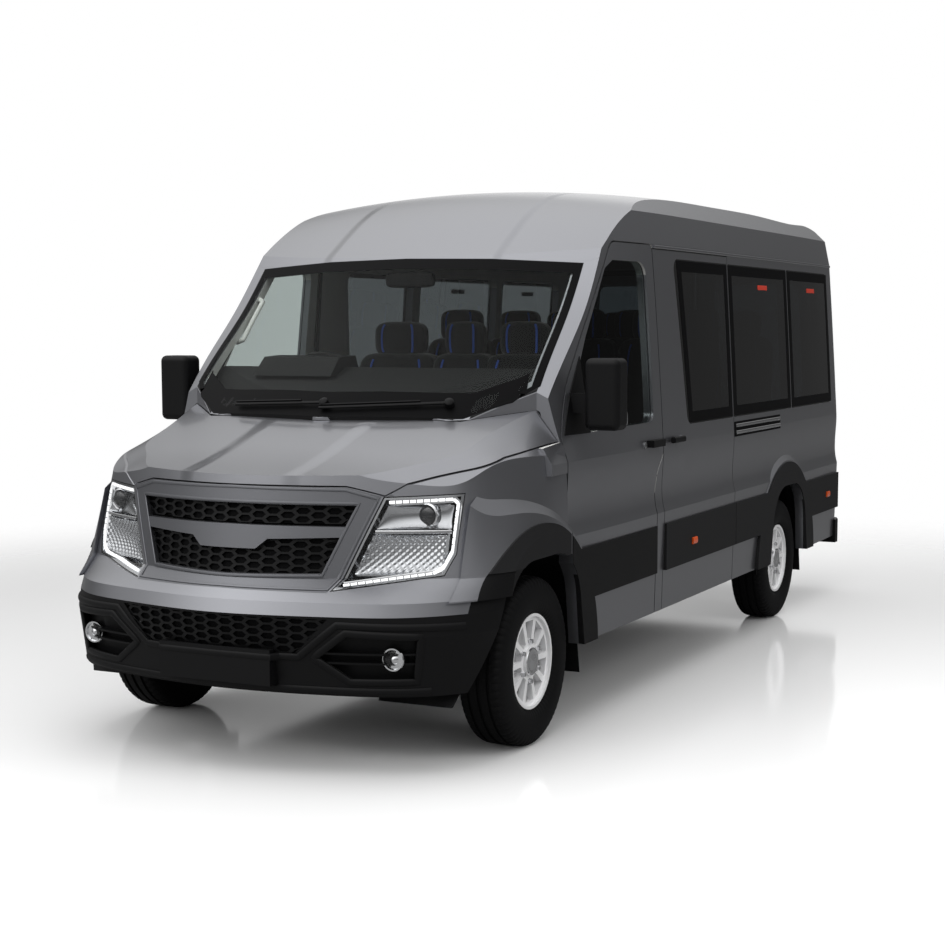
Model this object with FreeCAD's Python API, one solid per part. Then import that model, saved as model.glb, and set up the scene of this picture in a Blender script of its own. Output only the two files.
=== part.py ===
import FreeCAD, Part
import math
import os
from functools import lru_cache
from FreeCAD import Vector

# Minibus with a sloping nose, a high roof, a sliding side door and twin rear doors.
# Z is up, the front faces -Y, +X is the vehicle's left, and the wheels stand on z = 0.

# Driving dimensions, in millimetres
wheelbase = 3615.0
front_overhang = 962.5
rear_overhang = 1322.5
body_height = 2475.0
half_width = 1045.0
overrun = 60.0
shut_gap = 6.0
seat_gap = 0.3

# Heights above the ground of the lines that run round the body
sill_z = 375.0
cladding_bottom_z = 571.0
cladding_top_z = 801.0
shoulder_z = 860.0
waist_z = 1185.0
mid_glass_z = 1504.0
gutter_z = 2162.0
roof_crease_z = 2315.0
shoulder_top_z = 2570.0
floor_z = 680.0
cab_floor_z = 800.0
window_bottom_z = 1270.0
window_top_z = 2098.0

# Wheels and axles
tyre_radius = 360.0
tyre_width = 215.0
wheel_plane_x = 877.0
rim_radius = 203.0
kingpin_x = 795.0

# Wall thicknesses
wall = 50.0
roof_wall = 40.0
skin = 28.0
glass = 5.0
trim = 12.0
sheet = 4.0

overall_length = front_overhang + wheelbase + rear_overhang
nose_y = -overall_length / 2
tail_y = overall_length / 2
front_axle_y = nose_y + front_overhang
rear_axle_y = front_axle_y + wheelbase
axle_z = tyre_radius
far = 4 * body_height


def station(share):
    """Y of a place along the body: -1 nose, 0 front axle, 1 rear axle, 2 tail."""
    if share < 0:
        return front_axle_y + share * front_overhang
    if share > 1:
        return rear_axle_y + (share - 1) * rear_overhang
    return front_axle_y + share * wheelbase


def side_points(shares):
    """(y, z) points from a table of station and height shares."""
    return [(station(along), up * body_height) for along, up in shares]


def front_points(shares):
    """(x, z) points from a table of width and height shares."""
    return [(across * half_width, up * body_height) for across, up in shares]


def both_sides(points):
    """A half outline from the centre line outwards, made whole."""
    left = [(-x, other) for x, other in reversed(points) if x > 0]
    return points + left


def box(x0, x1, y0, y1, z0, z1):
    return Part.makeBox(x1 - x0, y1 - y0, z1 - z0, Vector(x0, y0, z0))


def mirrored(shape):
    return shape.mirror(Vector(0, 0, 0), Vector(1, 0, 0))


def pair(shape):
    return Part.makeCompound([shape, mirrored(shape)])


def fused(shapes):
    return shapes[0].multiFuse(shapes[1:])


def spline(points):
    curve = Part.BSplineCurve()
    curve.interpolate(points)
    return curve.toShape()


def line(start, end):
    return Part.LineSegment(start, end).toShape()


def rounded_wire(points, radii):
    """Closed wire through flat points, with an arc of the given radius at each corner."""
    count = len(points)
    starts, ends, middles = [], [], []
    for i, point in enumerate(points):
        back = points[i - 1] - point
        ahead = points[(i + 1) % count] - point
        back_unit, ahead_unit = Vector(back), Vector(ahead)
        back_unit.normalize()
        ahead_unit.normalize()
        half = back_unit.getAngle(ahead_unit) / 2
        if radii[i] <= 0 or half > math.radians(88):
            starts.append(point)
            ends.append(point)
            middles.append(None)
            continue
        reach = min(radii[i] / math.tan(half), back.Length * 0.49, ahead.Length * 0.49)
        radius = reach * math.tan(half)
        bisector = back_unit + ahead_unit
        bisector.normalize()
        centre = point + bisector * (radius / math.sin(half))
        starts.append(point + back_unit * reach)
        ends.append(point + ahead_unit * reach)
        middles.append(centre - bisector * radius)
    edges = []
    for i in range(count):
        if middles[i] is not None:
            edges.append(Part.Arc(starts[i], middles[i], ends[i]).toShape())
        edges.append(line(ends[i], starts[(i + 1) % count]))
    return Part.Wire(edges)


def prism(points, radius, along):
    radii = radius if isinstance(radius, list) else [radius] * len(points)
    return Part.Face(rounded_wire(points, radii)).extrude(along)


def side_prism(outline, radius, x0, x1):
    """Outline of (y, z) points, run from x0 to x1."""
    return prism([Vector(x0, y, z) for y, z in outline], radius, Vector(x1 - x0, 0, 0))


def front_prism(outline, radius, y0, y1):
    """Outline of (x, z) points, run from y0 to y1."""
    return prism([Vector(x, y0, z) for x, z in outline], radius, Vector(0, y1 - y0, 0))


def plan_prism(outline, radius, z0, z1):
    """Outline of (x, y) points, run from z0 to z1."""
    return prism([Vector(x, y, z0) for x, y in outline], radius, Vector(0, 0, z1 - z0))


def x_cylinder(radius, x0, x1, y, z):
    return Part.makeCylinder(radius, x1 - x0, Vector(x0, y, z), Vector(1, 0, 0))


def z_cylinder(radius, x, y, z0, z1):
    return Part.makeCylinder(radius, z1 - z0, Vector(x, y, z0))


def grown(outline, amount):
    """A closed outline of flat pairs moved outwards, or inwards where amount is negative."""
    wire = Part.makePolygon([Vector(a, b, 0) for a, b in outline + outline[:1]])
    moved = wire.makeOffset2D(amount, 2)
    return [(v.Point.x, v.Point.y) for v in moved.OrderedVertexes]


def grid_surface(rows):
    surface = Part.BSplineSurface()
    surface.interpolate(rows)
    return surface.toShape()


def save(name, shape):
    shape.exportStep("parts/" + name + ".step")
    print(name, len(shape.Solids), "solids", round(shape.Volume / 1e6, 2), "litres", shape.isValid())


# Cabin cross-section: half-widths at the sill, shoulder, waist, middle of the glass,
# gutter and roof crease, as shares of half_width
cabin_width_shares = [0.978, 0.991, 0.982, 0.965, 0.926, 0.895]
hollow_heights_shares = [0.15, 0.48]
hollow_width_shares = [0.980, 0.976]
shoulder_top_width_share = 0.640
cabin_heights = [sill_z, shoulder_z, waist_z, mid_glass_z, gutter_z, roof_crease_z]
# How far the sides tuck in: station share, then at the sill, mid-glass and gutter
tuck_shares = [
    (-0.30, 0.060, 0.160, 0.150),
    (0.065, 0.010, 0.082, 0.095),
    (0.140, 0.006, 0.040, 0.078),
    (0.223, 0.002, 0.018, 0.060),
    (0.306, 0.001, 0.006, 0.036),
    (0.390, 0.000, 0.002, 0.012),
    (0.500, 0.000, 0.000, 0.000),
    (0.750, 0.000, 0.000, 0.000),
    (1.000, 0.000, 0.000, 0.000),
    (1.500, 0.003, 0.003, 0.004),
    (1.840, 0.010, 0.011, 0.015),
    (1.910, 0.018, 0.020, 0.026),
    (1.953, 0.042, 0.046, 0.054),
    (1.981, 0.095, 0.100, 0.110),
]


def cabin_section(row, inset, drop):
    """One closed cross-section of the cabin at a station, with its walls inset."""
    along, low, middle, high = row
    y = station(along)
    half = [
        half_width * (width - tuck) - inset
        for width, tuck in zip(cabin_width_shares, [low, low, low, middle, high, high])
    ]
    right = [Vector(x, y, z) for x, z in zip(half, cabin_heights)]
    right[0] = Vector(half[0], y, sill_z - drop)
    rise = waist_z - shoulder_z
    hollow = [
        Vector(half_width * (width - low) - inset, y, shoulder_z + up * rise)
        for width, up in zip(hollow_width_shares, hollow_heights_shares)
    ]
    top = Vector(half_width * (shoulder_top_width_share - high) - inset, y, shoulder_top_z)

    def flip(points):
        return [Vector(-p.x, p.y, p.z) for p in reversed(points)]

    lower = [right[1]] + hollow + [right[2]]
    upper = right[2:5]
    edges = [
        line(flip(right[:1])[0], right[0]),
        line(right[0], right[1]),
        spline(lower),
        spline(upper),
        line(right[4], right[5]),
        line(right[5], top),
        line(top, flip([top])[0]),
        line(*flip([right[5], top])),
        line(*flip([right[4], right[5]])),
        spline(flip(upper)),
        spline(flip(lower)),
        line(*flip(right[:2])),
    ]
    return Part.Wire(edges)


# Windscreen: centre-line profile as (station share, height share), and its bow in plan
windscreen_shares = [
    (-0.330, 0.495), (-0.132, 0.5545), (0.040, 0.651), (0.120, 0.742),
    (0.193, 0.8436), (0.30, 0.97), (0.40, 1.10),
]
bow_low_share, bow_high_share = 0.243, 0.133
bow_low_height_share, bow_high_height_share = 0.551, 0.832
bow_width_share = 0.85
sheet_half_width_share = 1.1
sheet_columns = 9


def across_sheet():
    """X places of a surface's columns, over a little more than the full width."""
    steps = sheet_columns - 1
    reach = sheet_half_width_share * half_width
    return [(2 * column / steps - 1) * reach for column in range(sheet_columns)]


def crowned_sheet(profile, crown, drop):
    """Surface through a centre-line profile, lower towards its sides."""
    rows = []
    for along, up in profile:
        rows.append([
            Vector(x, station(along), body_height
                   * (up - crown * (x / (crown_width_share * half_width)) ** 2) - drop)
            for x in across_sheet()
        ])
    return grid_surface(rows)


def windscreen_surface(setback):
    rows = []
    for along, up in windscreen_shares:
        part_up = (up - bow_low_height_share) / (bow_high_height_share - bow_low_height_share)
        bow = half_width * (bow_low_share + (bow_high_share - bow_low_share) * part_up)
        rows.append([
            Vector(x, station(along) + bow * (x / (bow_width_share * half_width)) ** 2 + setback,
                   up * body_height)
            for x in across_sheet()
        ])
    return grid_surface(rows)


# Roof: centre-line profile as (station share, height share), and its crown
roof_shares = [
    (-0.10, 0.70), (0.10, 0.79), (0.193, 0.8440), (0.276, 0.918), (0.377, 0.977),
    (0.445, 0.9905), (0.583, 0.9985), (0.750, 1.0), (1.0, 1.0), (1.6, 0.996),
    (1.86, 0.990), (1.95, 0.972), (2.03, 0.92),
]
roof_crown_share = 0.0245
crown_width_share = 0.8


def roof_surface(drop):
    return crowned_sheet(roof_shares, roof_crown_share, drop)


@lru_cache(maxsize=None)
def cabin(inset, roof_drop, setback, drop):
    """Solid form of the cabin, with its walls inset."""
    solid = Part.makeLoft([cabin_section(row, inset, drop) for row in tuck_shares], True, False)
    above = roof_surface(roof_drop).extrude(Vector(0, 0, far))
    ahead = windscreen_surface(setback).extrude(Vector(0, -far, 0))
    return solid.cut(above).cut(ahead)


# Nose: plan outlines from the centre line round to the door, at rising heights.
# Each is (width share, station share)
nose_plan_shares = [
    [(0.0, -0.927), (0.465, -0.865), (0.696, -0.782), (0.833, -0.668),
     (0.923, -0.512), (0.967, -0.356), (0.976, -0.096), (0.974, 0.085)],
    [(0.0, -0.990), (0.465, -0.912), (0.696, -0.829), (0.847, -0.699),
     (0.943, -0.532), (0.982, -0.356), (0.987, -0.096), (0.982, 0.085)],
    [(0.0, -1.000), (0.465, -0.914), (0.696, -0.825), (0.842, -0.688),
     (0.938, -0.522), (0.980, -0.356), (0.988, -0.096), (0.984, 0.085)],
    [(0.0, -0.979), (0.465, -0.898), (0.696, -0.808), (0.835, -0.673),
     (0.928, -0.512), (0.976, -0.356), (0.988, -0.096), (0.984, 0.085)],
    [(0.0, -0.906), (0.433, -0.782), (0.670, -0.673), (0.809, -0.590),
     (0.908, -0.490), (0.970, -0.356), (0.988, -0.096), (0.984, 0.085)],
    [(0.0, -0.829), (0.449, -0.717), (0.670, -0.605), (0.831, -0.465),
     (0.895, -0.283), (0.928, -0.096), (0.957, 0.030), (0.972, 0.085)],
    [(0.0, -0.723), (0.449, -0.616), (0.670, -0.501), (0.813, -0.356),
     (0.861, -0.179), (0.895, 0.002), (0.919, 0.046), (0.933, 0.085)],
]
nose_height_shares = [0.1333, 0.2307, 0.2618, 0.2828, 0.3152, 0.4485, 0.6303]
# Rows up to this one belong to the bumper, which has straight facets; above it the form is smooth
bumper_rows = 5

# Bonnet: centre-line profile, crown, and the two rails of its sloping sides
bonnet_profile_shares = [
    (-1.031, 0.4477), (-0.782, 0.478), (-0.489, 0.5051), (-0.20, 0.5414),
    (-0.048, 0.5604), (0.057, 0.5907), (0.099, 0.6061),
]
bonnet_crown_share = 0.022
crease_rail_shares = [
    (0.431, -0.735, 0.4768), (0.574, -0.552, 0.4893), (0.670, -0.346, 0.5135),
    (0.756, -0.153, 0.5362), (0.813, 0.033, 0.5701), (0.852, 0.091, 0.5939),
]
fender_rail_shares = [
    (0.574, -0.688, 0.4424), (0.746, -0.584, 0.4525), (0.842, -0.460, 0.4606),
    (0.904, -0.294, 0.4848), (0.943, 0.008, 0.5022), (0.968, 0.091, 0.5152),
]
rail_overrun_share = 0.6


def nose_plan(row, height_share, inset):
    z = height_share * body_height
    right = [
        Vector(max(across * half_width - inset, 0), station(along) + inset * (1 - across), z)
        for across, along in row
    ]
    left = [Vector(-p.x, p.y, p.z) for p in reversed(right[1:])]
    return Part.Wire([spline(left + right), line(right[-1], left[0])])


def bonnet_surface(drop):
    return crowned_sheet(bonnet_profile_shares, bonnet_crown_share, drop)


def bonnet_side_surface(drop):
    """Ruled surface through the crease rail and the fender rail, run on past both."""
    inner, outer = [], []
    for crease, fender in zip(crease_rail_shares, fender_rail_shares):
        high = Vector(crease[0] * half_width, station(crease[1]), crease[2] * body_height - drop)
        low = Vector(fender[0] * half_width, station(fender[1]), fender[2] * body_height - drop)
        reach = (low - high) * rail_overrun_share
        inner.append(high - reach)
        outer.append(low + reach)
    return Part.makeRuledSurface(spline(inner), spline(outer))


@lru_cache(maxsize=None)
def nose(inset, drop):
    rows = list(zip(nose_plan_shares, nose_height_shares))
    low = [nose_plan(row, up, inset) for row, up in rows[:bumper_rows]]
    high = [nose_plan(row, up, inset) for row, up in rows[bumper_rows - 1:]]
    if drop:
        low[0].translate(Vector(0, 0, -drop))
    solid = Part.makeLoft(high, True, False).fuse(Part.makeLoft(low, True, True))
    side = bonnet_side_surface(inset).extrude(Vector(0, 0, far))
    top = bonnet_surface(inset).extrude(Vector(0, 0, far))
    return solid.cut(top).cut(side).cut(mirrored(side))


# Wheel arches: opening outlines as shares of the tyre radius from the axle
front_arch_shares = [(-1.63, -0.25), (-0.86, 1.256), (0.83, 1.256), (1.12, -0.25)]
rear_arch_shares = [(-1.17, -0.25), (-0.86, 1.256), (0.83, 1.256), (1.12, -0.25)]
arch_corner_share = 0.72
arch_inner_share, arch_outer_share = 0.5, 1.2
clad_centre_share = -0.15
clad_radius_share = 1.65
flare_inner_share, flare_outer_share = 1.68, 2.25
flare_top_width_share, flare_root_width_share = 0.994, 0.86
flare_low_share = 0.93
# How far the swell and the black ring may stand proud of the nose's own form
swell_stand = 24.0
ring_stand = 32.0


def arch_prism(axle_y, shares, x0, x1, margin):
    """Wheel opening of one axle, grown by a margin."""
    outline = [
        (axle_y + along * tyre_radius + math.copysign(margin, along),
         axle_z + up * tyre_radius + (margin if up > 0 else 0))
        for along, up in shares
    ]
    corner = arch_corner_share * tyre_radius
    return side_prism(outline, [0, corner, corner, 0], x0, x1)


def flare(axle_y):
    """Swell of the body side over a wheel."""
    root_x = flare_root_width_share * half_width
    top_x = flare_top_width_share * half_width
    cone = Part.makeCone(
        flare_outer_share * tyre_radius, flare_inner_share * tyre_radius, top_x - root_x,
        Vector(root_x, axle_y + clad_centre_share * tyre_radius, axle_z), Vector(1, 0, 0),
    )
    return cone.cut(box(0, far, -far, far, -far, axle_z + flare_low_share * tyre_radius))


def arch_openings():
    inner, outer = arch_inner_share * half_width, arch_outer_share * half_width
    openings = fused([
        arch_prism(front_axle_y, front_arch_shares, inner, outer, 0),
        arch_prism(rear_axle_y, rear_arch_shares, inner, outer, 0),
    ])
    return pair(openings)


# The forms that the panels are cut from
arch_cut = arch_openings()
front_flare = flare(front_axle_y)
rear_flare = flare(rear_axle_y)
nose_flare = front_flare.common(nose(-swell_stand, 0))
cabin_plain = cabin(0, 0, 0, 0)
cabin_outer = cabin_plain.multiFuse([front_flare, mirrored(front_flare), rear_flare, mirrored(rear_flare)])
screen_setback = 1.4 * wall
rear_face_y = station(tuck_shares[-1][0])
behind_tail = box(-far, far, rear_face_y - wall, far, -far, far)
cabin_inner = cabin(wall, roof_wall, screen_setback, overrun).cut(behind_tail)
cabin_shell = cabin_outer.cut(cabin_inner).cut(arch_cut)
nose_plain = nose(0, 0)
nose_outer = nose_plain.fuse(nose_flare).fuse(mirrored(nose_flare))
nose_shell = nose_outer.cut(nose(skin, overrun)).cut(arch_cut)


def cabin_layer(form, outer_inset, inner_inset):
    """Part of a thin layer under the cabin's surface, within a form."""
    return cabin(outer_inset, 0, 0, 0).common(form).cut(cabin(inner_inset, 0, 0, 0))


# Front doors: outline as (station share, height share), then the corner radii
door_shares = [
    (0.070, 0.1400), (0.070, 0.5172), (0.104, 0.6077), (0.164, 0.7051), (0.244, 0.8283),
    (0.270, 0.8707), (0.390, 0.8707), (0.390, 0.4646), (0.370, 0.4283), (0.362, 0.3879),
    (0.362, 0.1400),
]
door_corner_shares = [0, 0.05, 0.2, 0, 0.1, 0.04, 0.01, 0.02, 0.03, 0.02, 0]
door_front_corners = 6
door_window_shares = [
    (0.086, 0.5240), (0.118, 0.5939), (0.168, 0.6949), (0.242, 0.8202), (0.268, 0.8370),
    (0.366, 0.8370), (0.358, 0.5280),
]
door_window_corner_shares = [0.008, 0.02, 0, 0.02, 0.01, 0.03, 0.02]
door_front_gap = 8.0
door_rear_gap = 8.0
pane_recess = 12.0
seal_width = 18.0
seal_depth = 10.0


def radii_of(shares):
    return [share * body_height for share in shares]


side_reach = arch_outer_share * half_width
door_outline = side_points(door_shares)
door_radii = radii_of(door_corner_shares)
door_form = side_prism(door_outline, door_radii, 0, side_reach)
door_space = side_prism(
    [(y + (-door_front_gap if i < door_front_corners else door_rear_gap),
      z + (shut_gap if z > waist_z else 0)) for i, (y, z) in enumerate(door_outline)],
    door_radii, 0, side_reach)
door_front_y = door_outline[0][0]
door_rear_y = door_outline[door_front_corners][0]
door_window_form = side_prism(
    side_points(door_window_shares), radii_of(door_window_corner_shares), 0, side_reach)
pane_overlap = 8.0
pane_edge_form = side_prism(
    grown(side_points(door_window_shares), pane_overlap), radii_of(door_window_corner_shares), 0, side_reach)
pane_seat_form = side_prism(
    grown(side_points(door_window_shares), pane_overlap + seat_gap),
    radii_of(door_window_corner_shares), 0, side_reach)
door_pane = cabin_layer(pane_edge_form, pane_recess, pane_recess + glass)
door_pane_seat = cabin_layer(pane_seat_form, pane_recess - seat_gap, pane_recess + glass + seat_gap)


def front_door():
    """Left front door: skin and frame in one, with its window cut."""
    return cabin_shell.common(door_form).cut(door_window_form).cut(door_pane_seat)


# Side windows: front edge at the bottom and at the top, then the rear edge, as stations
pane_fronts_shares = [(0.494, 0.464), (0.7045, 0.7045), (1.056, 1.056)]
pane_rears_shares = [0.7000, 1.047, 1.788]
pane_corner = 55.0
pane_small_corner = 10.0
pane_rim = 38.0


def pane_form(index, margin):
    low, high = pane_fronts_shares[index]
    rear = station(pane_rears_shares[index]) + margin
    bottom, top = window_bottom_z - margin, window_top_z + margin
    outline = [(station(low) - margin, bottom), (station(high) - margin, top), (rear, top), (rear, bottom)]
    ends = [index == 0, index == 0, index == 2, index == 2]
    radii = [pane_corner if at_end else pane_small_corner for at_end in ends]
    return side_prism(outline, radii if margin > -glass else pane_corner, 0, side_reach)


def side_wall():
    """Left wall of the cabin with the window openings and their rebates cut."""
    shape = cabin_shell.common(box(0, side_reach, front_axle_y, tail_y, 0, far))
    for index in range(len(pane_rears_shares)):
        seat = cabin_layer(pane_form(index, seat_gap), 0, glass + seat_gap)
        shape = shape.cut(seat).cut(pane_form(index, -pane_rim))
    return shape


panes = [cabin_layer(pane_form(i, 0), 0, glass) for i in range(len(pane_rears_shares))]
left_wall = side_wall()

# Sliding door
slide_rear_share = 0.702
track_cover = 26.0
slide_front_y = door_rear_y + door_rear_gap
slide_rear_y = station(slide_rear_share)
slide_top_z = gutter_z - track_cover


def slide_prism(margin):
    y0, y1 = slide_front_y - margin, slide_rear_y + margin
    top = slide_top_z + margin
    return box(0, side_reach, y0, y1, 0, top)


# Roof: the line along which it meets the sides and the windscreen frame
roof_line_shares = [(0.140, 0.8310), (0.223, 0.8325), (0.268, 0.8735)]
roof_line = side_points(roof_line_shares)


def roof_region(margin):
    outline = [(y, z + margin) for y, z in roof_line]
    ends = [(y, z) for y, z in [(roof_line[0][0] - far, outline[0][1]), (far, outline[-1][1])]]
    return side_prism([ends[0]] + outline + [ends[1], (far, far), (roof_line[0][0] - far, far)], 0, -far, far)


# Rear doors, their windows and the lamps beside them: half outlines seen from behind
rear_door_shares = [(0.0, 0.200), (0.862, 0.200), (0.850, 0.480), (0.772, 0.862), (0.0, 0.862)]
rear_window_shares = [(0.115, 0.510), (0.735, 0.510), (0.690, 0.825), (0.115, 0.825)]
tail_lamp_shares = [(0.905, 0.360), (1.000, 0.360), (1.000, 0.560), (0.897, 0.560)]
meeting_gap = 9.0
rear_hinge_heights_shares = [0.26, 0.40]
rear_hinge_share = 0.868
hinge_radius = 7.0
hinge_length = 40.0
hinge_leaf = 24.0
lamp_depth = 60.0


def rear_door_form(margin):
    points = front_points(rear_door_shares)
    inner_x = meeting_gap / 2 - margin
    outline = [(inner_x, points[0][1] - margin)]
    outline += [(x + margin, z + (margin if z > waist_z + wall else -margin)) for x, z in points[1:4]]
    outline += [(inner_x, points[4][1] + margin)]
    return front_prism(outline, [0, wall / 2, 0, wall, 0], rear_face_y - wall - overrun, tail_y + overrun)


rear_window_form = front_prism(front_points(rear_window_shares), wall, rear_face_y - 2 * wall, tail_y)
tail_lamp_form = front_prism(front_points(tail_lamp_shares), trim, rear_face_y - lamp_depth, tail_y)
rear_hinge_x = rear_hinge_share * half_width
rear_hinge_y = rear_face_y + hinge_radius


def rear_hinges(z_offset, leaf_side):
    """Barrels of one half of the rear hinges, each with its leaf."""
    pieces = []
    for up in rear_hinge_heights_shares:
        z0 = up * body_height + z_offset
        leaf_end = rear_hinge_x + leaf_side * hinge_leaf
        foot_start = leaf_end - leaf_side * hinge_leaf / 2
        pieces.append(z_cylinder(hinge_radius, rear_hinge_x, rear_hinge_y, z0, z0 + hinge_length))
        pieces.append(box(min(rear_hinge_x, leaf_end), max(rear_hinge_x, leaf_end),
                          rear_face_y + seat_gap, rear_hinge_y, z0, z0 + hinge_length))
        pieces.append(box(min(foot_start, leaf_end), max(foot_start, leaf_end),
                          rear_face_y - sheet, rear_hinge_y, z0, z0 + hinge_length))
    return pieces


def rear_door():
    panel = cabin_shell.common(rear_door_form(0)).cut(rear_window_form)
    return fused([panel] + rear_hinges(hinge_length + seat_gap, -1))


def rear_glass():
    middle_y = rear_face_y - wall / 2
    return front_prism(front_points(rear_window_shares), wall, middle_y, middle_y + glass)


# Side panels
side_front_y = door_outline[-1][0]
bumper_top_share = 0.195
bumper_front_share = 1.86
bumper_top_z = bumper_top_share * body_height
bumper_front_y = station(bumper_front_share)


def side_panel(slides):
    """Left side from the front door's rear edge to the tail, its windows cut."""
    panel = left_wall.common(box(0, side_reach, side_front_y, tail_y, 0, far))
    panel = panel.cut(roof_region(-seat_gap / 2)).cut(door_space)
    panel = panel.cut(rear_door_form(shut_gap)).cut(tail_lamp_form)
    panel = panel.cut(box(0, side_reach, bumper_front_y, tail_y, 0, bumper_top_z))
    if slides:
        panel = panel.cut(slide_prism(shut_gap))
    return fused([panel] + rear_hinges(0, 1))


# Windscreen and its frame
screen_outline_shares = [
    (0.0, 0.5560), (0.236, 0.5576), (0.608, 0.5552), (0.767, 0.5826), (0.848, 0.6093),
    (0.834, 0.7273), (0.822, 0.8291), (0.411, 0.8388), (0.0, 0.8420),
]
screen_border = 45.0
screen_thickness = 8.0
frame_front_share = -0.36
frame_rear_share = 0.36
frame_low_share = 0.46
pillar_foot_share = 0.85
pillar_front_share = 0.02


def screen_form(margin):
    outline = both_sides(front_points(screen_outline_shares))
    return front_prism(grown(outline, margin) if margin else outline, 0, -far, station(frame_rear_share))


screen_layer = windscreen_surface(0).extrude(Vector(0, screen_thickness, 0))
screen_seat = windscreen_surface(-sheet).extrude(
    Vector(0, screen_thickness + sheet + seat_gap, 0)).common(screen_form(seat_gap))
screen_hole = screen_form(-screen_border).common(
    box(-far, far, -far, station(frame_rear_share), waist_z, far))


def screened(shape):
    return shape.cut(screen_seat).cut(screen_hole)


def roof_panel():
    panel = screened(cabin_shell.common(roof_region(seat_gap / 2)))
    both = pair(rear_door_form(shut_gap))
    return panel.cut(both)


# Bonnet: the line where it shuts on the fenders, and its rear edge in plan
shut_line_shares = [
    (-1.083, 0.4630), (-0.712, 0.4610), (-0.655, 0.4463), (-0.605, 0.4650), (-0.418, 0.4810),
    (-0.184, 0.4990), (0.085, 0.5190),
]
bonnet_rear_shares = [
    (0.0, -0.138), (0.236, -0.099), (0.608, -0.021), (0.767, 0.039), (0.842, 0.060), (0.970, 0.063),
]


def bonnet_form(margin):
    low = [(y, z - margin) for y, z in side_points(shut_line_shares)]
    over = side_prism(low + [(low[-1][0], far), (low[0][0], far)], 0, -far, far)
    plan = [(x * half_width, station(along) + margin) for x, along in bonnet_rear_shares]
    edge = plan[-1][0] + overrun
    half = plan + [(edge, plan[-1][1]), (edge, plan[-1][1] - far)]
    return over.common(plan_prism(both_sides([(x, y) for x, y in half]), 0, 0, far))


bonnet_panel = nose_shell.common(bonnet_form(0))
bonnet_space = bonnet_form(shut_gap).cut(nose(skin + shut_gap, overrun))
bonnet_room = nose(-shut_gap, 0).common(bonnet_form(shut_gap))
fender_band = nose(-seat_gap, 0).cut(nose(skin + seat_gap, overrun))


def front_frame():
    """Pillars, header and cowl round the windscreen."""
    region = box(-far, far, station(frame_front_share), station(frame_rear_share),
                 frame_low_share * body_height, far)
    frame = cabin_shell.common(region).cut(roof_region(-seat_gap / 2))
    frame = screened(frame).cut(pair(door_space))
    beside = box(pillar_foot_share * half_width, far, -far, station(pillar_front_share), 0, far)
    frame = frame.cut(pair(beside))
    return frame.cut(bonnet_space).cut(fender_band.cut(bonnet_form(shut_gap)))


# Grille frame, headlamps and bumper openings: half outlines seen from the front
grille_frame_shares = [(0.0, 0.4606), (0.449, 0.4578), (0.572, 0.4440), (0.433, 0.2958), (0.0, 0.2982)]
grille_hole_shares = [(0.0, 0.4315), (0.488, 0.4299), (0.381, 0.3224), (0.0, 0.3200)]
grille_bar_shares = [(0.0, 0.398), (0.480, 0.396), (0.466, 0.380), (0.170, 0.376), (0.125, 0.360), (0.0, 0.360)]
headlamp_shares = [(0.578, 0.4436), (0.833, 0.4477), (0.833, 0.3523), (0.803, 0.3188), (0.442, 0.2975)]
intake_shares = [(0.0, 0.2586), (0.465, 0.2578), (0.336, 0.2008), (0.0, 0.2008)]
fog_shares = [(0.416, 0.1947), (0.536, 0.2323), (0.774, 0.2267), (0.752, 0.1628), (0.536, 0.1616)]
fog_lamp_share = (0.690, 0.1950)
plate_half_length, plate_low_z, plate_high_z = 262.0, 367.0, 510.0
plate_y = -2931.0
plate_holder_depth = 90.0
front_reach = station(-0.30)
ridge_low_share = 0.2618
bumper_seam_share = 0.3200
cowl_share = 0.815
frame_depth = 48.0
mesh_setback = 32.0
mesh_thickness = 12.0
lamp_bowl = 80.0
lamp_wall = 8.0
fog_depth = 45.0
fog_radius = 38.0
fog_bar = 8.0


def front_form(shares, margin):
    outline = both_sides(front_points(shares))
    return front_prism(grown(outline, margin) if margin else outline, 0, -far, front_reach)


def side_front_form(shares, margin):
    """Form seen from the front that stands on the left side only."""
    outline = front_points(shares)
    return front_prism(grown(outline, margin) if margin else outline, 0, -far, front_reach)


def pushed(shape, depth):
    copy = shape.copy()
    copy.translate(Vector(0, depth, 0))
    return copy


grille_frame_form = front_form(grille_frame_shares, 0)
grille_space = front_form(grille_frame_shares, seat_gap)
grille_hole = front_form(grille_hole_shares, 0)
headlamp_form = side_front_form(headlamp_shares, 0)
headlamp_space = pair(side_front_form(headlamp_shares, seat_gap))
ridge_z = ridge_low_share * body_height
bumper_seam_z = bumper_seam_share * body_height
lamp_body = nose(sheet + seat_gap, 0)


def grille_frame():
    slab = nose_plain.common(grille_frame_form).cut(pushed(nose_plain, frame_depth))
    rim = slab.cut(grille_hole).fuse(slab.common(front_form(grille_bar_shares, 0)))
    return rim.cut(bonnet_room)


def mesh_in(shares, setback):
    """Mesh panel that fills an opening, set back from the surface."""
    form = front_form(shares, -seat_gap)
    return pushed(nose_plain, setback).common(form).cut(pushed(nose_plain, setback + mesh_thickness))


def fenders():
    panel = nose_shell.cut(bonnet_form(shut_gap)).cut(grille_space).cut(headlamp_space)
    panel = panel.common(box(-far, far, nose_y, door_front_y - door_front_gap, bumper_seam_z, far))
    cowl_x = cowl_share * half_width
    under_screen = box(-cowl_x, cowl_x, front_reach, far, waist_z, far)
    return panel.cut(pair(door_space)).cut(under_screen)


arch_wing = pair(x_cylinder(clad_radius_share * tyre_radius, 0, side_reach,
                            front_axle_y + clad_centre_share * tyre_radius, axle_z))


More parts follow.
